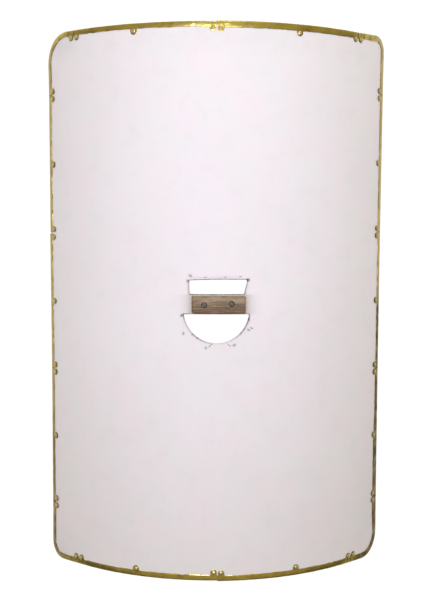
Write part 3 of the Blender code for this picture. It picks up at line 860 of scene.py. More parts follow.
# The cloth of the walls and hems comes out of the openings, and only the rest is cut away.
CLOTH_AREA = shoelace(outer_rim(RIM_UNDER))
for name, opening in OPENINGS.items():
    edge = opening["edge"]
    round_edge = np.linalg.norm(np.diff(edge, axis=0, append=edge[:1]), axis=1).sum()
    hem = shoelace(round_opening(name, hem_width(name) * TURN_IN[name])) - shoelace(edge)
    CLOTH_AREA -= shoelace(edge) - round_edge * -HEM_BACK - hem

# %% [markdown]
# ## The plywood board
#
# The board is the same plan without the hem: two faces, a cut edge at the rim and one at each
# opening. Its corners are barely rubbed down, which is enough to catch a little light.

# %% Cut the board
BOARD_OPENING = 0.0011        # the board's openings are this much bigger than the cloth's
BOARD_RUB = 0.0004


def board_patches():
    """The grids of the board: its opening walls, cells, broad faces and rim."""
    middle = (BOARD_FRONT + BOARD_BACK) / 2
    front, back = BOARD_FRONT - BOARD_RUB, BOARD_BACK + BOARD_RUB
    outside = BOARD_OPENING + BOARD_RUB
    profile = np.concatenate([
        quarter((outside, front), BOARD_RUB, 90, 0, 4), [(BOARD_OPENING, middle)],
        quarter((outside, back), BOARD_RUB, 0, -90, 4),
    ])
    grids = []
    for name, opening in OPENINGS.items():
        width = np.broadcast_to(profile[:, :1], (len(profile), len(opening["edge"])))
        grids.append(ring(round_opening(name, width), profile[:, 1:]))
        start = round_opening(name, np.full(len(opening["edge"]), outside))
        for height in (BOARD_FRONT, BOARD_BACK):
            grids.append(ring(field(start, opening["cell"], HIDDEN_CELL_ROWS), height))
    for height in (BOARD_FRONT, BOARD_BACK):
        places = field(frame_outline(), outer_rim(RIM_UNDER + BOARD_RUB), HIDDEN_ROWS + 8)
        grids.append(ring(places, height))
    cut = np.stack([outer_rim(RIM_UNDER + width - BOARD_OPENING) for width in profile[:, 0]])
    return [*grids, ring(cut, profile[:, 1:])]


piece("plywood_board", board_patches(), PLYWOOD, ["board"])

# %% [markdown]
# ## The brass edging
#
# Each length of edging is a strip of sheet brass, sheared with a round lug for every nail and
# then folded over the rim, so that it shows a narrow flange in front, a web on the outside
# and a flange behind. It is worked out as a section carried along the rim. The section runs
# from the front flange's cut edge over the outside to the back one, and home along the
# inside. Where the cut edge goes out round a lug, the stations along the web close up in step
# with it, so that no line of the grid leaves the metal. The shears wander a few tenths of a
# millimetre, the hammer leaves the sheet slightly uneven, and at the corners, where the
# flange has to shrink, it is crimped. Two lengths are cut wider where they meet, low down on
# the right, and one joint on the left stands open.

# %% Fold the edging
BRASS_THICK = 0.0008
BRASS_FRONT = 0.0011
BRASS_BACK = -0.0082
FLANGE = {"top_left": 0.0103, "top_right": 0.0125, "bottom_left": 0.0114, "bottom_right": 0.0115,
          "corner_top_left": 0.0110, "corner_top_right": 0.0120,
          "corner_bottom_left": 0.0110, "corner_bottom_right": 0.0117,
          "left_1": 0.0095, "left_2": 0.0095, "left_3": 0.0095,
          "right_1": 0.0106, "right_2": 0.0095, "right_3": 0.0106}
# Two lengths meet in a wider stretch: how much wider, and the shares of the length where that
# starts and where it is full.
FLARE = {"right_3": (0.0036, 0.75, 0.35), "corner_bottom_right": (0.0032, 0.55, 0.80)}
LUG_RADIUS = 0.0064
LUG_FILLET = 0.0008
BEND_RADIUS = 0.0018
CORNER_PROUD = 0.0018         # how far a hand-bent corner stands off the rim
# How far a length stands off the rim at its start and its end, going anticlockwise.
LOOSE = {"bottom_right": (0.0012, 0.0), "corner_bottom_right": (0.0, 0.0015), "right_3": (0.0015, 0.0),
         "right_1": (0.0, 0.0018), "corner_top_right": (0.0018, 0.0), "top_right": (0.0, 0.0012),
         "left_2": (0.0008, 0.0), "left_3": (0.0, 0.0012), "corner_bottom_left": (0.0012, 0.0)}
SPRUNG = 0.0007
CROWN = 0.0003                # the hammer leaves each flange a little higher along its middle
SHEAR_WANDER = 0.0003
HAMMER = 0.0002
HAMMER_LIMITS = (-0.00028, 0.00022)   # how far the hammer and the crimps may move the outside
CUT_EDGE = 0.00025            # the shears round the cut edge over by this much
CRIMP, CRIMP_PITCH = 0.00022, 0.0062
FOLD_MIDDLE = -0.0035         # the height that parts the front flange from the back one
SIDE_START = 0.345            # from the centre line to where the sides' painted shade sets in
SHADE_AND_GRIME_RING, SHADE_AND_GRIME_WIDTH = 0.0052, 0.0009   # painted shade and grime round a nail head: its radius and how wide it is
FLANGE_SHARES = (1.0, 0.97, 0.80, 0.62, 0.42, 0.2)   # rows of points from the cut edge to the bend
LUG_STATIONS = 30
JOINT_CLOSE = 0.00025         # the real lengths all but touch, closer than the CAD solids may
# One joint stands open, at the middle of the left side: how far each of its two ends draws back.
JOINT_OPEN = {("edging_left_1", "end"): 0.0009, ("edging_left_2", "start"): 0.0006}
PLAIN_SPACING = 0.003

EDGINGS = sorted(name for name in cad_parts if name.startswith("edging"))
NAILS = sorted(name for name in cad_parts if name.startswith("nail"))


def cad_middle(node):
    """The layout place (s, y) of the middle of a CAD node."""
    layout = cad_layout(node)
    return (layout.min(axis=0) + layout.max(axis=0))[:2] / 2


NAIL_PLACES = np.array([cad_middle(name) for name in NAILS])
NAIL_LENGTHS = rim_length_of(NAIL_PLACES)
NAIL_INSETS = np.linalg.norm(NAIL_PLACES - table_of(*rim_at(NAIL_LENGTHS)), axis=1)


def stretch_of(node):
    """The start and end of an edging length along the rim, from its CAD vertices."""
    lengths = rim_length_of(cad_layout(node))
    from_first = (lengths - lengths[0] + RIM_LENGTH / 2) % RIM_LENGTH - RIM_LENGTH / 2
    back = [JOINT_OPEN.get((node, place), -JOINT_CLOSE) for place in ("start", "end")]
    return lengths[0] + from_first.min() + back[0], lengths[0] + from_first.max() - back[1]


def flange_at(length, share):
    """How far a length reaches over each face, at shares of its own length."""
    wider, nothing, full = FLARE.get(length, (0.0, 0.0, 1.0))
    return FLANGE[length] + wider * eased((share - nothing) / (full - nothing))


def lug_outline(flange, inset):
    """Half-open outline of a lug, evenly spaced, as (along, reach) with its foot fillets. Its round
    head starts where it leaves the flange, at an angle whose sine is (flange - inset) / radius."""
    turn = np.linspace(0, math.pi / 2, 9)
    leaving = math.asin(max(0.0, flange - inset) / LUG_RADIUS)
    rounding = max(0.0, min(LUG_FILLET, inset - flange))
    foot = LUG_RADIUS + LUG_FILLET
    fillet = table_of(-foot + LUG_FILLET * np.sin(turn), flange + rounding * (1 - np.cos(turn)))
    turn = np.linspace(leaving, math.pi - leaving, 61)
    head = table_of(-LUG_RADIUS * np.cos(turn), inset + LUG_RADIUS * np.sin(turn))
    outline = np.concatenate([fillet, head, fillet[::-1] * (-1, 1)])
    return spread(outline, LUG_STATIONS)


def stations(start, end, length):
    """Stations of one length: places on the web, places on the cut edge, and how far it reaches."""
    foot = LUG_RADIUS + LUG_FILLET
    parts = []

    def plain_run(here, there, extra, **ends):
        """Even stations between two lugs, or between a lug and an end."""
        along = np.linspace(here, there, max(2, round((there - here) / PLAIN_SPACING) + extra), **ends)
        parts.append((along, along, flange_at(length, (along - start) / (end - start))))

    here = start
    for nail, inset in sorted(zip((NAIL_LENGTHS - start) % RIM_LENGTH + start, NAIL_INSETS)):
        if nail > end:
            break
        shape = lug_outline(float(flange_at(length, (nail - start) / (end - start))), inset)
        room = np.where(shape[:, 0] < 0, nail - start, end - nail) - 0.0001
        squeeze = np.minimum(1.0, room / foot)
        plain_run(here, nail - foot * squeeze[0], 0, endpoint=False)
        spaced = np.linspace(-foot, foot, LUG_STATIONS, endpoint=False)
        parts.append((nail + spaced * squeeze, nail + shape[:, 0] * squeeze, shape[:, 1]))
        here = nail + foot * squeeze[-1]
    plain_run(here, end, 1)
    return [np.concatenate(column) for column in zip(*parts)]


def channel_section(depth):
    """The folded section at a depth in the sheet, 0 on the outside, from the front cut edge to the
    back one. Its rows: share of the way to the cut edge, inset at the bend, height, and the outward
    direction (inset, height)."""
    radius = BEND_RADIUS - depth
    section = [(share, BEND_RADIUS, BRASS_FRONT - depth, 0.0, 1.0) for share in FLANGE_SHARES]
    for first, middle in ((90, BRASS_FRONT - BEND_RADIUS), (0, BRASS_BACK + BEND_RADIUS)):
        for turn in np.radians(np.linspace(first, first - 90, 4)):
            out = (-math.cos(turn), math.sin(turn))
            section.append((0.0, BEND_RADIUS + radius * out[0], middle + radius * out[1], *out))
    section += [(share, BEND_RADIUS, BRASS_BACK + depth, 0.0, -1.0) for share in reversed(FLANGE_SHARES)]
    web = (0.0, BEND_RADIUS - radius, (BRASS_FRONT + BRASS_BACK) / 2, -1.0, 0.0)
    section.insert(len(section) // 2, web)
    return np.array(section)


def proud_of(node, share):
    """How far a length stands off the rim at shares of its own length: a straight run from its
    start to its end, a bow on the corners, and the one joint that has sprung open."""
    at_start, at_end = LOOSE.get(node, (0.0, 0.0))
    proud = at_start + (at_end - at_start) * share
    if "corner" in node:
        proud = proud + CORNER_PROUD * np.sin(math.pi * share) ** 2
    if node == "left_2":
        proud = proud + SPRUNG * (1 - share) ** 3
    return proud


def side_shade_at(s, y, middle):
    """How grey the brass is painted as shade on both sides: most along the middle of the flange."""
    side = eased((np.abs(s) - SIDE_START) / 0.02)
    patchy = 1 + 0.20 * ripples(31, 0.02, 0.12, s, y)
    return np.clip(side * (0.22 + 0.34 * middle) * patchy, 0, 0.9)


def low_side_shade_at(s, y):
    """How dark the sides are painted with shade low down, more on the right, but lighter round the nails' lugs.
    """
    corner = 0.05 * eased((-0.46 - y) / 0.03)
    right = 0.64 * eased((s - 0.340 + corner) / 0.02) * eased((0.04 - y) / 0.06)
    left = 0.38 * eased((-SIDE_START - s + corner) / 0.02) * eased((-0.19 - y) / 0.08)
    to_nail = [np.asarray(place)[..., None] - NAIL_PLACES[:, axis] for axis, place in enumerate((s, y))]
    lighter_at_lugs = 1 - 0.6 * bell(np.hypot(*to_nail).min(axis=-1), 0.010)
    return (right + left) * lighter_at_lugs * (1 + 0.25 * ripples(32, 0.01, 0.08, s, y))


def edging_patches(node):
    """The grids of one length: the folded sheet, wrapped round its section, and its two cut ends."""
    start, end = stretch_of(node)
    length = node.removeprefix("edging_")
    flange = FLANGE[length]
    web, edge, reach = stations(start, end, length)
    seed = EDGINGS.index(node)
    share = (web - start) / (end - start)
    reach = reach + SHEAR_WANDER * ripples(seed, 0.012, 0.09, edge)
    outside = channel_section(0.0)
    outside[[0, -1], 2] -= CUT_EDGE * outside[[0, -1], 4]
    section = np.concatenate([outside, channel_section(BRASS_THICK)[::-1]])
    is_outside = np.arange(len(section)) < len(outside)

    way, bend_inset, height, out_inset, out_height = section.T
    along = web[:, None] + (edge - web)[:, None] * way
    inset = bend_inset + (reach[:, None] - bend_inset) * way
    across = np.where(is_outside, inset * np.sign(height - FOLD_MIDDLE), inset)
    uneven = HAMMER * (ripples(seed + 40, 0.005, 0.03, along, across) - 0.6)
    if "corner" in node:
        crimped = np.sin(2 * math.pi * along / CRIMP_PITCH) * np.sin(math.pi * share[:, None]) ** 2
        uneven = uneven + CRIMP * way * crimped
    uneven = np.clip(uneven, *HAMMER_LIMITS) * is_outside
    crown = CROWN * np.clip(1 - (2 * inset / flange - 1) ** 2, 0, 1) * is_outside
    inset = inset - proud_of(length, share)[:, None] - np.minimum(uneven, 0) * np.abs(out_inset)
    height = height + (uneven + crown) * out_height * (out_inset == 0)

    grime = np.zeros(along.shape)
    # Painted shade and grime: a dark ring round each nail head, darker on its inner side.
    for nail, nail_inset in zip(NAIL_LENGTHS, NAIL_INSETS):
        apart = (along - nail + RIM_LENGTH / 2) % RIM_LENGTH - RIM_LENGTH / 2
        away = np.hypot(apart, inset - nail_inset)
        inward = 0.5 + 0.5 * (inset - nail_inset) / np.maximum(away, 1e-6)
        grime += (0.08 + 0.22 * inward) * bell(away - SHADE_AND_GRIME_RING, SHADE_AND_GRIME_WIDTH)
    grime += 0.55 * bell(np.minimum(along - start, end - along), 0.0008)

    s, y = rim_at(along % RIM_LENGTH, inset)
    # Painted shade low down on both sides, more on the right.
    grime = np.clip(grime + low_side_shade_at(s, y), 0, 1)
    middle = bell(inset / flange - 0.5, 0.28)
    points = table_of(s, y, height)
    values = {"along": along, "across": across, "grime": grime, "tarnish": side_shade_at(s, y, middle)}
    outer = np.arange(len(outside))
    pairs = np.stack([outer, len(section) - 1 - outer])
    ends = [patch(points[station][pairs], **{key: value[station][pairs] for key, value in values.items()})
            for station in (0, -1)]
    return [patch(points, closed=True, **values), *ends]


for node in EDGINGS:
    piece(node.replace("edging", "brass"), edging_patches(node), BRASS, [node])

# %% [markdown]
# ## The nails
#
# Thirty-eight domed brass nails hold the edging, one through each pair of lugs. They are cut
# nails with a square shank, and the point is riveted over into a small burr behind. Each is
# turned from a profile, with its shank squared, and knocked a little out of true, because no
# two of them were driven alike.

# %% Drive the nails
HEAD_RADIUS = 0.0043
HEAD_HEIGHT = 0.0019
HEAD_SEAT = BRASS_FRONT + 0.0003
SHANK = 0.0011
BURR_SEAT = BRASS_BACK - 0.0003
BURR_RADIUS = 0.0024
BURR_THICK = 0.0008
NAIL_SIDES = 24
LIP = 0.0002                  # the rounded edge of a head
OFF_CENTRE = 0.00025
LEAN = math.tan(math.radians(3))
HEAD_ROWS = 10                # of a nail's profile, from the top of its dome to the lip


def turned(profile, sides, centre, squared):
    """A profile of (radius, height) turned about an upright axis. Rows that are squared keep
    the distance r / max(|cos a|, |sin a|) from it, which is a square's."""
    profile = np.asarray(profile, float)
    turn = np.arange(sides) * 2 * math.pi / sides
    square = 1 / np.maximum(np.abs(np.cos(turn)), np.abs(np.sin(turn)))
    shape = 1 + (square - 1) * squared[:, None]
    radius = profile[:, :1] * shape
    return table_of(centre[0] + radius * np.cos(turn), centre[1] + radius * np.sin(turn), profile[:, 1:])


def nail_patch(number):
    """One nail: an elliptic dome, a rounded lip, the square shank and the riveted burr."""
    dice = np.random.default_rng(700 + number)
    head = HEAD_RADIUS * dice.uniform(0.95, 1.0)
    rise = HEAD_HEIGHT * dice.uniform(0.88, 0.98)
    turn = np.radians(np.linspace(90, 0, HEAD_ROWS))
    profile = [(head * math.cos(a), HEAD_SEAT + LIP + (rise - LIP) * math.sin(a)) for a in turn]
    profile += [(head * 0.985, HEAD_SEAT), (SHANK, HEAD_SEAT), (SHANK, BURR_SEAT),
                (BURR_RADIUS * 0.92, BURR_SEAT), (BURR_RADIUS, BURR_SEAT - 0.0003),
                (BURR_RADIUS * 0.6, BURR_SEAT - BURR_THICK), (0.0, BURR_SEAT - BURR_THICK)]
    squared = np.zeros(len(profile))
    squared[[HEAD_ROWS + 1, HEAD_ROWS + 2]] = 1
    centre = NAIL_PLACES[number] + dice.uniform(-OFF_CENTRE, OFF_CENTRE, 2)
    points = turned(profile, NAIL_SIDES, centre, squared)
    lean = dice.uniform(-1, 1, 2) * LEAN
    offset = points[..., :2] - centre
    rows = np.arange(len(profile))
    tilted = (rows < HEAD_ROWS) * eased(np.linspace(2, 0, len(profile)))
    lift = np.clip(np.sum(offset * lean, axis=-1) * tilted[:, None], -LIP, LIP)
    points[..., 2] += lift * (points[..., 2] > HEAD_SEAT + LIP)
    # Painted shade darkens the lower rows of each dome towards its lip; the hidden shank and burr are dark.
    grime = np.where(rows < HEAD_ROWS, 0.15 * np.maximum(rows - 6, 0), 0.8)[:, None]
    # Painted shade darkens the heads of both sides, and the two at the middle of the top, where it dims their
    # reflection of the far soft box.
    side = 0.10 * eased((-0.34 - centre[0]) / 0.02) + 0.25 * eased((centre[0] - 0.34) / 0.02)
    glint_dimming = 0.45 * eased((0.05 - abs(centre[0])) / 0.02) * (centre[1] > 0)
    grime = np.clip(grime + side + glint_dimming + 0.2 * low_side_shade_at(*centre), 0, 1)
    return patch(points, closed=True, grime=grime)


for number, node in enumerate(NAILS):
    piece(f"brass_{node}", [nail_patch(number)], NAIL_BRASS, [node], sharp=35)

# %% [markdown]
# ## Finish: weathered oak
#
# The grip block is a scrap of old, unpainted oak. Its upper half is lighter and greyer, its lower
# half browner, and redder towards the lower left. The soft part of each year's growth has worn
# away, so the grain stands in low ridges along the block, and it bends round a knot by the
# right-hand screw. The colours run from the upper to the lower edge. The streaks are noise drawn
# out eleven times along the grain, and the blotches three times. One darkening is kept on the
# points: dirt in the cracks, painted shade at the ends and on the lower side, and painted shade
# with rust stain round the screw holes.

# %% Make the oak finish
def weathered_oak(tree):
    place = kept(tree, "grain", "Vector")
    rise = part_of(tree, place, "Y")
    level = remap(tree, rise, BLOCK_Y[0], BLOCK_Y[1])
    level = work_out(tree, "MULTIPLY_ADD", noise(tree, place, 28.0, 2.0), 0.5, level)
    level = work_out(tree, "ADD", level, -0.25)
    wood = ramp(tree, level, (0.02, "#55402E"), (0.18, "#725239"), (0.36, "#6D5B49"), (0.60, "#85705B"),
                (0.82, "#A9947D"), (1.00, "#8F7B62"))
    streaks = noise(tree, drawn_out(tree, place, (0.09, 1.0, 0.6)), 420.0, 6.0, 0.72)
    blotches = noise(tree, drawn_out(tree, place, (0.30, 1.0, 0.6)), 180.0, 3.0)
    lower_left = work_out(tree, "ADD", part_of(tree, place, "X"), rise)
    lower_left = remap(tree, lower_left, 0.015, -0.050, 0.0, 0.12)
    redder = work_out(tree, "ADD", blotches, lower_left)
    # Pale streaks, dark streaks, red blotches and olive blotches.
    for value, low, high, most, colour in (
        (streaks, 0.51, 0.70, 0.75, "#B4A286"), (streaks, 0.48, 0.28, 0.75, "#4A3A2E"),
        (redder, 0.52, 0.68, 0.42, "#7E6154"), (blotches, 0.46, 0.32, 0.40, "#7B6C43"),
    ):
        wood = blend(tree, remap(tree, value, low, high, 0.0, most), wood, colour)
    # The darkening kept on the points: dirt in the cracks, painted shade at the ends and on the lower side, and
    # painted shade with rust stain round the screw holes.
    return {"Base Color": blend(tree, kept(tree, "dirt"), wood, "#33291F"), "Roughness": 0.78,
            "Normal": bumps(tree, streaks, 0.5, 0.0004)}


OAK = new_finish("weathered_oak", weathered_oak)

# %% [markdown]
# ## The grip block
#
# The block is sawn from a plank, and its edges are eased by wear. Its shape is a section, a
# rectangle with rounded upper corners, carried along the grain. Towards each end the section
# draws in, more at the lower left, where the corner has been rubbed away. Grain ridges and a
# few long cracks are cut into the surface, never out of it, so that the block keeps its size.
# The two countersinks are pressed into the upper face by their distance from the screws.

# %% Shape the block
SCREW_SINK = 0.0054           # radius of a countersink at the face
SCREW_HOLE = 0.0022
BLOCK_EASE = 0.0022
# How far each edge is rounded away at the left and at the right end.
BLOCK_WORN = {"low": (0.0045, 0.0036), "high": (0.0018, 0.0022), "top": (BLOCK_EASE, 0.0018)}
KNOT = (0.0285, 0.0085)       # beside the right-hand screw
KNOT_BEND = 0.0045            # how far the grain is pushed aside there
END_STEPS = 0.004             # the stretch at each end where the stations close up
DEEPEST = 0.0011              # no crack is cut deeper
SCREWS = {side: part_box(f"grip_screw_{side}") for side in ("left", "right")}
SCREW_PLACES = {side: ((low.x + high.x) / 2, (low.y + high.y) / 2) for side, (low, high) in SCREWS.items()}
LOOP = {"base": 20, "wall": 16, "corner": 9, "face": 84}


def block_loop():
    """Round the section: y = middle + half A + ease B, z = base + rise C + ease D, and outward (y, z).
    The rows give A, B, C, D and the two parts of the direction."""
    up = np.linspace(0, 1, LOOP["wall"], endpoint=False)
    down = np.linspace(1, 0, LOOP["wall"], endpoint=False)
    turn = np.linspace(0, math.pi / 2, LOOP["corner"], endpoint=False)
    cosine, sine = np.cos(turn), np.sin(turn)
    across = np.linspace(1, -1, LOOP["face"], endpoint=False)
    return np.concatenate([
        table_of(np.linspace(-1, 1, LOOP["base"], endpoint=False), 0, 0, 0, 0, -1),
        table_of(1, 0, up, -up, 1, 0),
        table_of(1, cosine - 1, 1, sine - 1, cosine, sine),
        table_of(across, -across, 1, 0, 0, 1),
        table_of(-1, 1 - sine, 1, cosine - 1, -sine, cosine),
        table_of(-1, 0, down, -down, -1, 0),
    ])


def drawn_in(distance, radius):
    """How far a rounded corner has drawn in at a distance from its end: r - sqrt(r^2 - (r - d)^2)."""
    short = np.clip(radius - distance, 0, radius)
    return radius - np.sqrt(np.maximum(radius ** 2 - short ** 2, 0))


def block_patches():
    """The grids of the block: the skin along the grain, and its two ends."""
    base, top = BLOCK_LOW.z, BLOCK_HIGH.z
    close = np.linspace(0, 1, 12) ** 1.6 * END_STEPS
    even = np.linspace(BLOCK_X[0] + END_STEPS, BLOCK_X[1] - END_STEPS, 150)
    x = np.concatenate([BLOCK_X[0] + close[:-1], even, BLOCK_X[1] - close[::-1][1:]])[:, None]
    left, right = x - BLOCK_X[0], BLOCK_X[1] - x
    worn = {edge: drawn_in(left, at_left) + drawn_in(right, at_right)
            for edge, (at_left, at_right) in BLOCK_WORN.items()}
    low, high, rise = BLOCK_Y[0] + worn["low"], BLOCK_Y[1] - worn["high"], top - base - worn["top"]
    half_share, ease_y, rise_share, ease_z, out_y, out_z = block_loop().T
    y = (low + high) / 2 + (high - low) / 2 * half_share + BLOCK_EASE * ease_y
    z = base + rise * rise_share + BLOCK_EASE * ease_z
    x = x + 0 * y

    knot_away = np.hypot((x - KNOT[0]) / 2.2, y - KNOT[1])
    bent_y = y + KNOT_BEND * np.sign(y - KNOT[1]) * bell(knot_away, 0.006)
    ridges = ripples(51, 0.0011, 0.005, x / 22, bent_y, z)
    hollows = ripples(52, 0.012, 0.05, x / 2, y, z)
    cracks = np.maximum(ripples(53, 0.002, 0.009, x / 30, bent_y, z) - 1.35, 0)
    depth = np.clip(0.00022 + 0.00013 * ridges + 0.00012 * hollows + 0.0007 * cracks, 0, DEEPEST)
    depth = depth * np.where(out_z < -0.5, 0.2, 1.0)
    y = y - out_y * depth
    z = z - out_z * depth

    # Darkening kept on the points: dirt in the cracks, painted shade on the lower side and at the ends.
    dirt = 0.55 * np.clip(cracks / 0.5, 0, 1) + 0.25 * (out_z < 0.4) * (out_y < 0)
    dirt = dirt + 0.5 * bell(np.minimum(left, 1.5 * right), 0.0009)
    for place in SCREW_PLACES.values():
        away = np.hypot(x - place[0], y - place[1])
        z = z - np.clip(SCREW_SINK - away, 0, SCREW_SINK - SCREW_HOLE) * (out_z > 0.9)
        # Painted shade, with rust stain, round the rim of each countersink.
        sink_shade_and_stain = 0.95 * eased((SCREW_SINK + 0.0004 - away) / 0.0007)
        dirt = np.maximum(dirt, sink_shade_and_stain * (out_z > 0.9))
    chipped = 0.0005 * (1 + ripples(54, 0.004, 0.02, y, z)) * bell(right, 0.003)
    chipped = chipped - 0.0003 * (1 + ripples(55, 0.004, 0.02, y, z)) * bell(left, 0.003)
    points = table_of(np.clip(x - chipped, *BLOCK_X), y, z)
    skin = patch(points, closed=True, dirt=np.clip(dirt, 0, 1), grain=table_of(x, bent_y, z))

    total = points.shape[1]
    start, steps = LOOP["base"] // 2, np.arange(total // 2)
    pairs = np.stack([start + steps, start - 1 - steps]) % total
    # Painted shade on both end faces.
    ends = [patch(rows, dirt=0.5, grain=rows) for rows in (points[0][pairs], points[-1][pairs])]
    return [skin, *ends]


piece("oak_grip_block", block_patches(), OAK, ["grip_block"], bent=False, sharp=60)

# %% [markdown]
# ## Finish: dull steel
#
# The two wood screws are plain steel gone grey, with rust, dirt and painted shade down the slot
# and round the rim of the head. They look darker than bright steel, and rougher.

# %% Make the steel finish
def dull_steel(tree):
    spots = noise(tree, add(tree, "TexCoord").outputs["Object"], 700.0, 4.0)
    rust_and_shade = remap(tree, spots, 0.35, 0.65, 1.1, 0.8)
    # Rust, dirt and painted shade from the points, made patchy by noise.
    rust_and_shade = work_out(tree, "MULTIPLY", rust_and_shade, kept(tree, "dirt"), use_clamp=True)
    metal = blend(tree, rust_and_shade, ramp(tree, spots, (0.35, "#3B3833"), (0.62, "#66625D")), "#2E2620")
    return {"Base Color": metal, "Metallic": work_out(tree, "SUBTRACT", 1.0, rust_and_shade),
            "Roughness": remap(tree, rust_and_shade, 0.0, 1.0, 0.42, 0.8), "Normal": bumps(tree, spots, 0.3, 0.0002)}


STEEL = new_finish("dull_steel", dull_steel)

# %% [markdown]
# ## The screws
#
# A slotted countersunk wood screw is a cone under a flat head. The head is drawn as parallel
# chords along the slot, because a grid of chords can step down into the slot and up again
# with clean walls. The ends of the chords make the outline that the cone starts from, notches
# and all, and the cone runs down to the shank and its point.

# %% Turn the screws
HEAD = 0.0042
STEM = 0.0019
SLOT_HALF = 0.0006
SLOT_DEPTH = 0.0013
POINT_LENGTH = 0.005
SLOT_TURNS = {"left": -38.0, "right": 80.0}
HEAD_CROWN = 0.00012
CHORDS = 13                   # on each side of the slot
CHORD_POINTS = 25


def screw_patches(side):
    """The grids of one screw: its head in chords, and the cone, shank and point below it."""
    low, high = SCREWS[side]
    top = high.z
    beside = HEAD * np.sin(np.linspace(math.asin(SLOT_HALF / HEAD), math.pi / 2, CHORDS))
    across = np.concatenate([-beside[::-1], [-SLOT_HALF, SLOT_HALF], beside])
    depth = np.zeros(len(across))
    depth[[CHORDS, CHORDS + 1]] = SLOT_DEPTH
    half = np.sqrt(np.maximum((HEAD - depth) ** 2 - across ** 2, 0))
    u = half[:, None] * np.linspace(-1, 1, CHORD_POINTS)
    v = across[:, None] + 0 * u
    crown = HEAD_CROWN * (1 - (u ** 2 + v ** 2) / HEAD ** 2) * (depth[:, None] == 0)
    z = top - HEAD_CROWN + crown - depth[:, None]
    # Rust, dirt and painted shade: darker down the slot and round the rim of the head.
    dirt = 0.15 + 0.75 * (depth[:, None] > 0) + 0.6 * eased((np.hypot(u, v) - 0.0034) / 0.0008)
    head = table_of(u, v, z)

    outline = np.concatenate([head[:, 0], head[::-1, -1][1:-1]])
    angle = np.arctan2(outline[:, 1], outline[:, 0])
    rings = ((STEM, top - (HEAD - STEM)), (STEM, low.z + POINT_LENGTH), (STEM * 0.2, low.z), (0.0, low.z))
    rows = [table_of(away * np.cos(angle), away * np.sin(angle), level) for away, level in rings]
    below = np.stack([outline, *rows])

    turn = math.radians(SLOT_TURNS[side])
    spin = np.array([[math.cos(turn), math.sin(turn), 0], [-math.sin(turn), math.cos(turn), 0], [0, 0, 1]])
    shift = np.array([*SCREW_PLACES[side], 0])
    return [patch(head @ spin + shift, dirt=np.clip(dirt, 0, 1)),
            patch(below @ spin + shift, closed=True, dirt=0.7)]


for side in SCREWS:
    node = f"grip_screw_{side}"
    piece(f"steel_{node}", screw_patches(side), STEEL, [node], bent=False)

# %% [markdown]
# ## Finish: linen thread
#
# The cloth was tacked round the openings with a grey two-ply thread. It is matt and a little
# fuzzy, so it has sheen and no gloss.

# %% Make the thread finish
def linen_thread(tree):
    fuzz = noise(tree, kept(tree, "layout", "Vector"), 900.0, 3.0)
    return {"Base Color": ramp(tree, fuzz, (0.35, "#5A4C55"), (0.65, "#8B7B84")), "Roughness": 0.95,
            "Sheen Weight": 0.3, "Specular IOR Level": 0.2}


THREAD = new_finish("linen_thread", linen_thread)

# %% [markdown]
# ## The stitches
#
# Each stitch comes up through the cloth, lies on it for a few millimetres and goes down again.
# It is a tube carried along that path. Its section is not round but has two lobes, which turn
# as it goes, so that it reads as two twisted plies.

# %% Sew the stitches
THREAD_RADIUS = 0.00050
THREAD_LIES = 0.00035         # the thread's middle above the cloth
THREAD_DIVES = -0.0007        # and at the ends of a stitch, under it
THREAD_STEP = 0.0002
SMOOTHED = 3                  # steps to either side that each point is averaged over
PLY_TWIST = 0.0022            # one full turn of the plies
THREAD_SIDES = 10
NO_STITCH = (0.31, 0.22, 0.92)   # a direction that no stitch runs in, to measure the turn from


def thread_path(path):
    """An evenly spaced, smoothed path over the cloth through the given places, diving at its ends."""
    places = np.array(path)
    first = places[0] - unit(places[1] - places[0]) * THREAD_STEP
    last = places[-1] + unit(places[-1] - places[-2]) * THREAD_STEP
    corners = np.concatenate([[first], places, [last]])
    heights = np.full(len(corners), THREAD_LIES)
    heights[[0, -1]] = THREAD_DIVES
    corners = np.column_stack([corners, heights])
    length = lengths_along(corners)
    at = np.linspace(0, length[-1], max(12, round(length[-1] / THREAD_STEP)))
    points = table_of(*(np.interp(at, length, values) for values in corners.T))
    padded = np.pad(points, ((SMOOTHED, SMOOTHED), (0, 0)), mode="edge")
    window = 2 * SMOOTHED + 1
    return sum(padded[shift:shift + len(points)] for shift in range(window)) / window


def thread_patch(path):
    """A tube about a path: r = radius (0.82 + 0.18 cos 2(turn - twist)), closed at both ends."""
    points = thread_path(path)
    points[:, 2] += canvas_relief(points[:, 0], points[:, 1]) * (points[:, 2] > 0)
    forward = unit(np.gradient(points, axis=0))
    side = unit(np.cross(forward, NO_STITCH))
    up = np.cross(side, forward)
    turn = np.arange(THREAD_SIDES) * 2 * math.pi / THREAD_SIDES
    lobes = 0.82 + 0.18 * np.cos(2 * (turn - (2 * math.pi / PLY_TWIST) * lengths_along(points)[:, None]))
    ends = np.ones(len(points))
    ends[[0, -1]] = 0.0
    radius = THREAD_RADIUS * lobes * ends[:, None]
    around = np.cos(turn)[None, :, None] * side[:, None] + np.sin(turn)[None, :, None] * up[:, None]
    return patch(points[:, None] + radius[..., None] * around, closed=True)


threads = [piece(f"stitch_{name}", [thread_patch(path)], THREAD) for name, path in STITCHES]

# %% [markdown]
# ## Floor, light and camera
#
# The shield lies face up on a white light table and is seen from above, so the floor itself
# glows softly and throws no hard shadow. Two soft boxes hang over it, the stronger one near
# the middle and a second one beyond the top end, which brightens the brass there. A pale sky
# fills in the rest. The brass needs that sky to be uneven: a metal only looks like metal when
# it has something lighter and something darker to reflect.

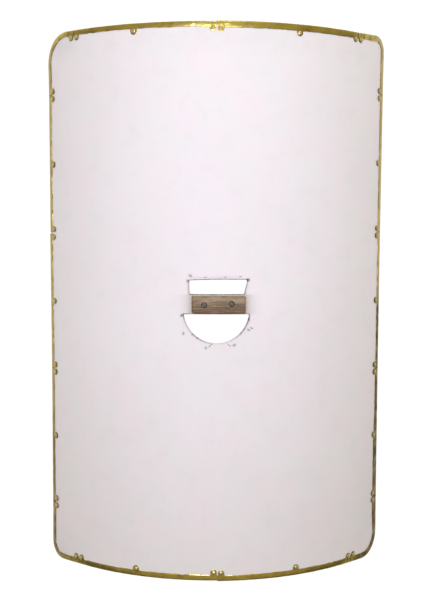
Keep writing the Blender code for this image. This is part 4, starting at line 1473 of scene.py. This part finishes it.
# %% Set the stage
FLOOR_GLOW = 1.0
FLOOR_HALF = 3.0
SOFT_BOXES = {                # where it hangs, its size, its power in watts and its colour
    "soft_box": ((-0.10, 0.22, 1.90), 0.45, 22.3, (0.750, 0.790, 1.0)),
    "soft_box_far": ((0.20, 1.75, 1.25), 0.60, 11.2, (0.92, 0.98, 0.90)),
}


def light_table(tree):
    return {"Base Color": "#404040", "Roughness": 0.9,
            "Emission Color": "#FFFFFF", "Emission Strength": FLOOR_GLOW}


floor_mesh = bpy.data.meshes.new("light_table")
corners = np.array([(-1, -1, 0), (1, -1, 0), (1, 1, 0), (-1, 1, 0)]) * FLOOR_HALF
floor_mesh.from_pydata(corners.tolist(), [], [(0, 1, 2, 3)])
floor_mesh.materials.append(new_finish("light_table", light_table))
floor = put_in("light_table", floor_mesh)

world = bpy.data.worlds.new("pale_sky")
bpy.context.scene.world = world
world.use_nodes = True
sky = world.node_tree
sky.nodes.clear()
direction = add(sky, "TexCoord").outputs["Generated"]
lean = work_out(sky, "MULTIPLY_ADD", part_of(sky, direction, "Y"), 0.7, part_of(sky, direction, "Z"))
shade = ramp(sky, lean, (0.05, "#4C4B49"), (0.28, "#A19B8E"), (0.60, "#C1B596"), (1.0, "#C1B88E"))
add(sky, "OutputWorld", {"Surface": add(sky, "Background", {"Color": shade, "Strength": 1.0})})

for name, (place, size, power, colour) in SOFT_BOXES.items():
    lamp = bpy.data.lights.new(name, "AREA")
    lamp.shape, lamp.size, lamp.energy, lamp.color = "SQUARE", size, power, colour
    box = put_in(name, lamp)
    box.location = place
    box.visible_camera = False
print("light:", len(SOFT_BOXES), "soft boxes, sky and floor")

# %% Place the camera
camera_data = bpy.data.cameras.new("camera")
camera_data.sensor_width = 36.0
camera_data.lens = 57.2
camera_data.clip_start, camera_data.clip_end = 0.05, 50.0
camera = put_in("camera", camera_data)
camera.location = (-0.057, 0.162, 1.934)
camera.rotation_euler = tuple(math.radians(turn) for turn in (-4.77, -1.57, 0.18))
bpy.context.scene.camera = camera
bpy.context.scene.view_settings.view_transform = "Standard"
print(f"camera: {camera_data.lens:.1f} mm lens, {camera.location.z:.2f} m above the floor")
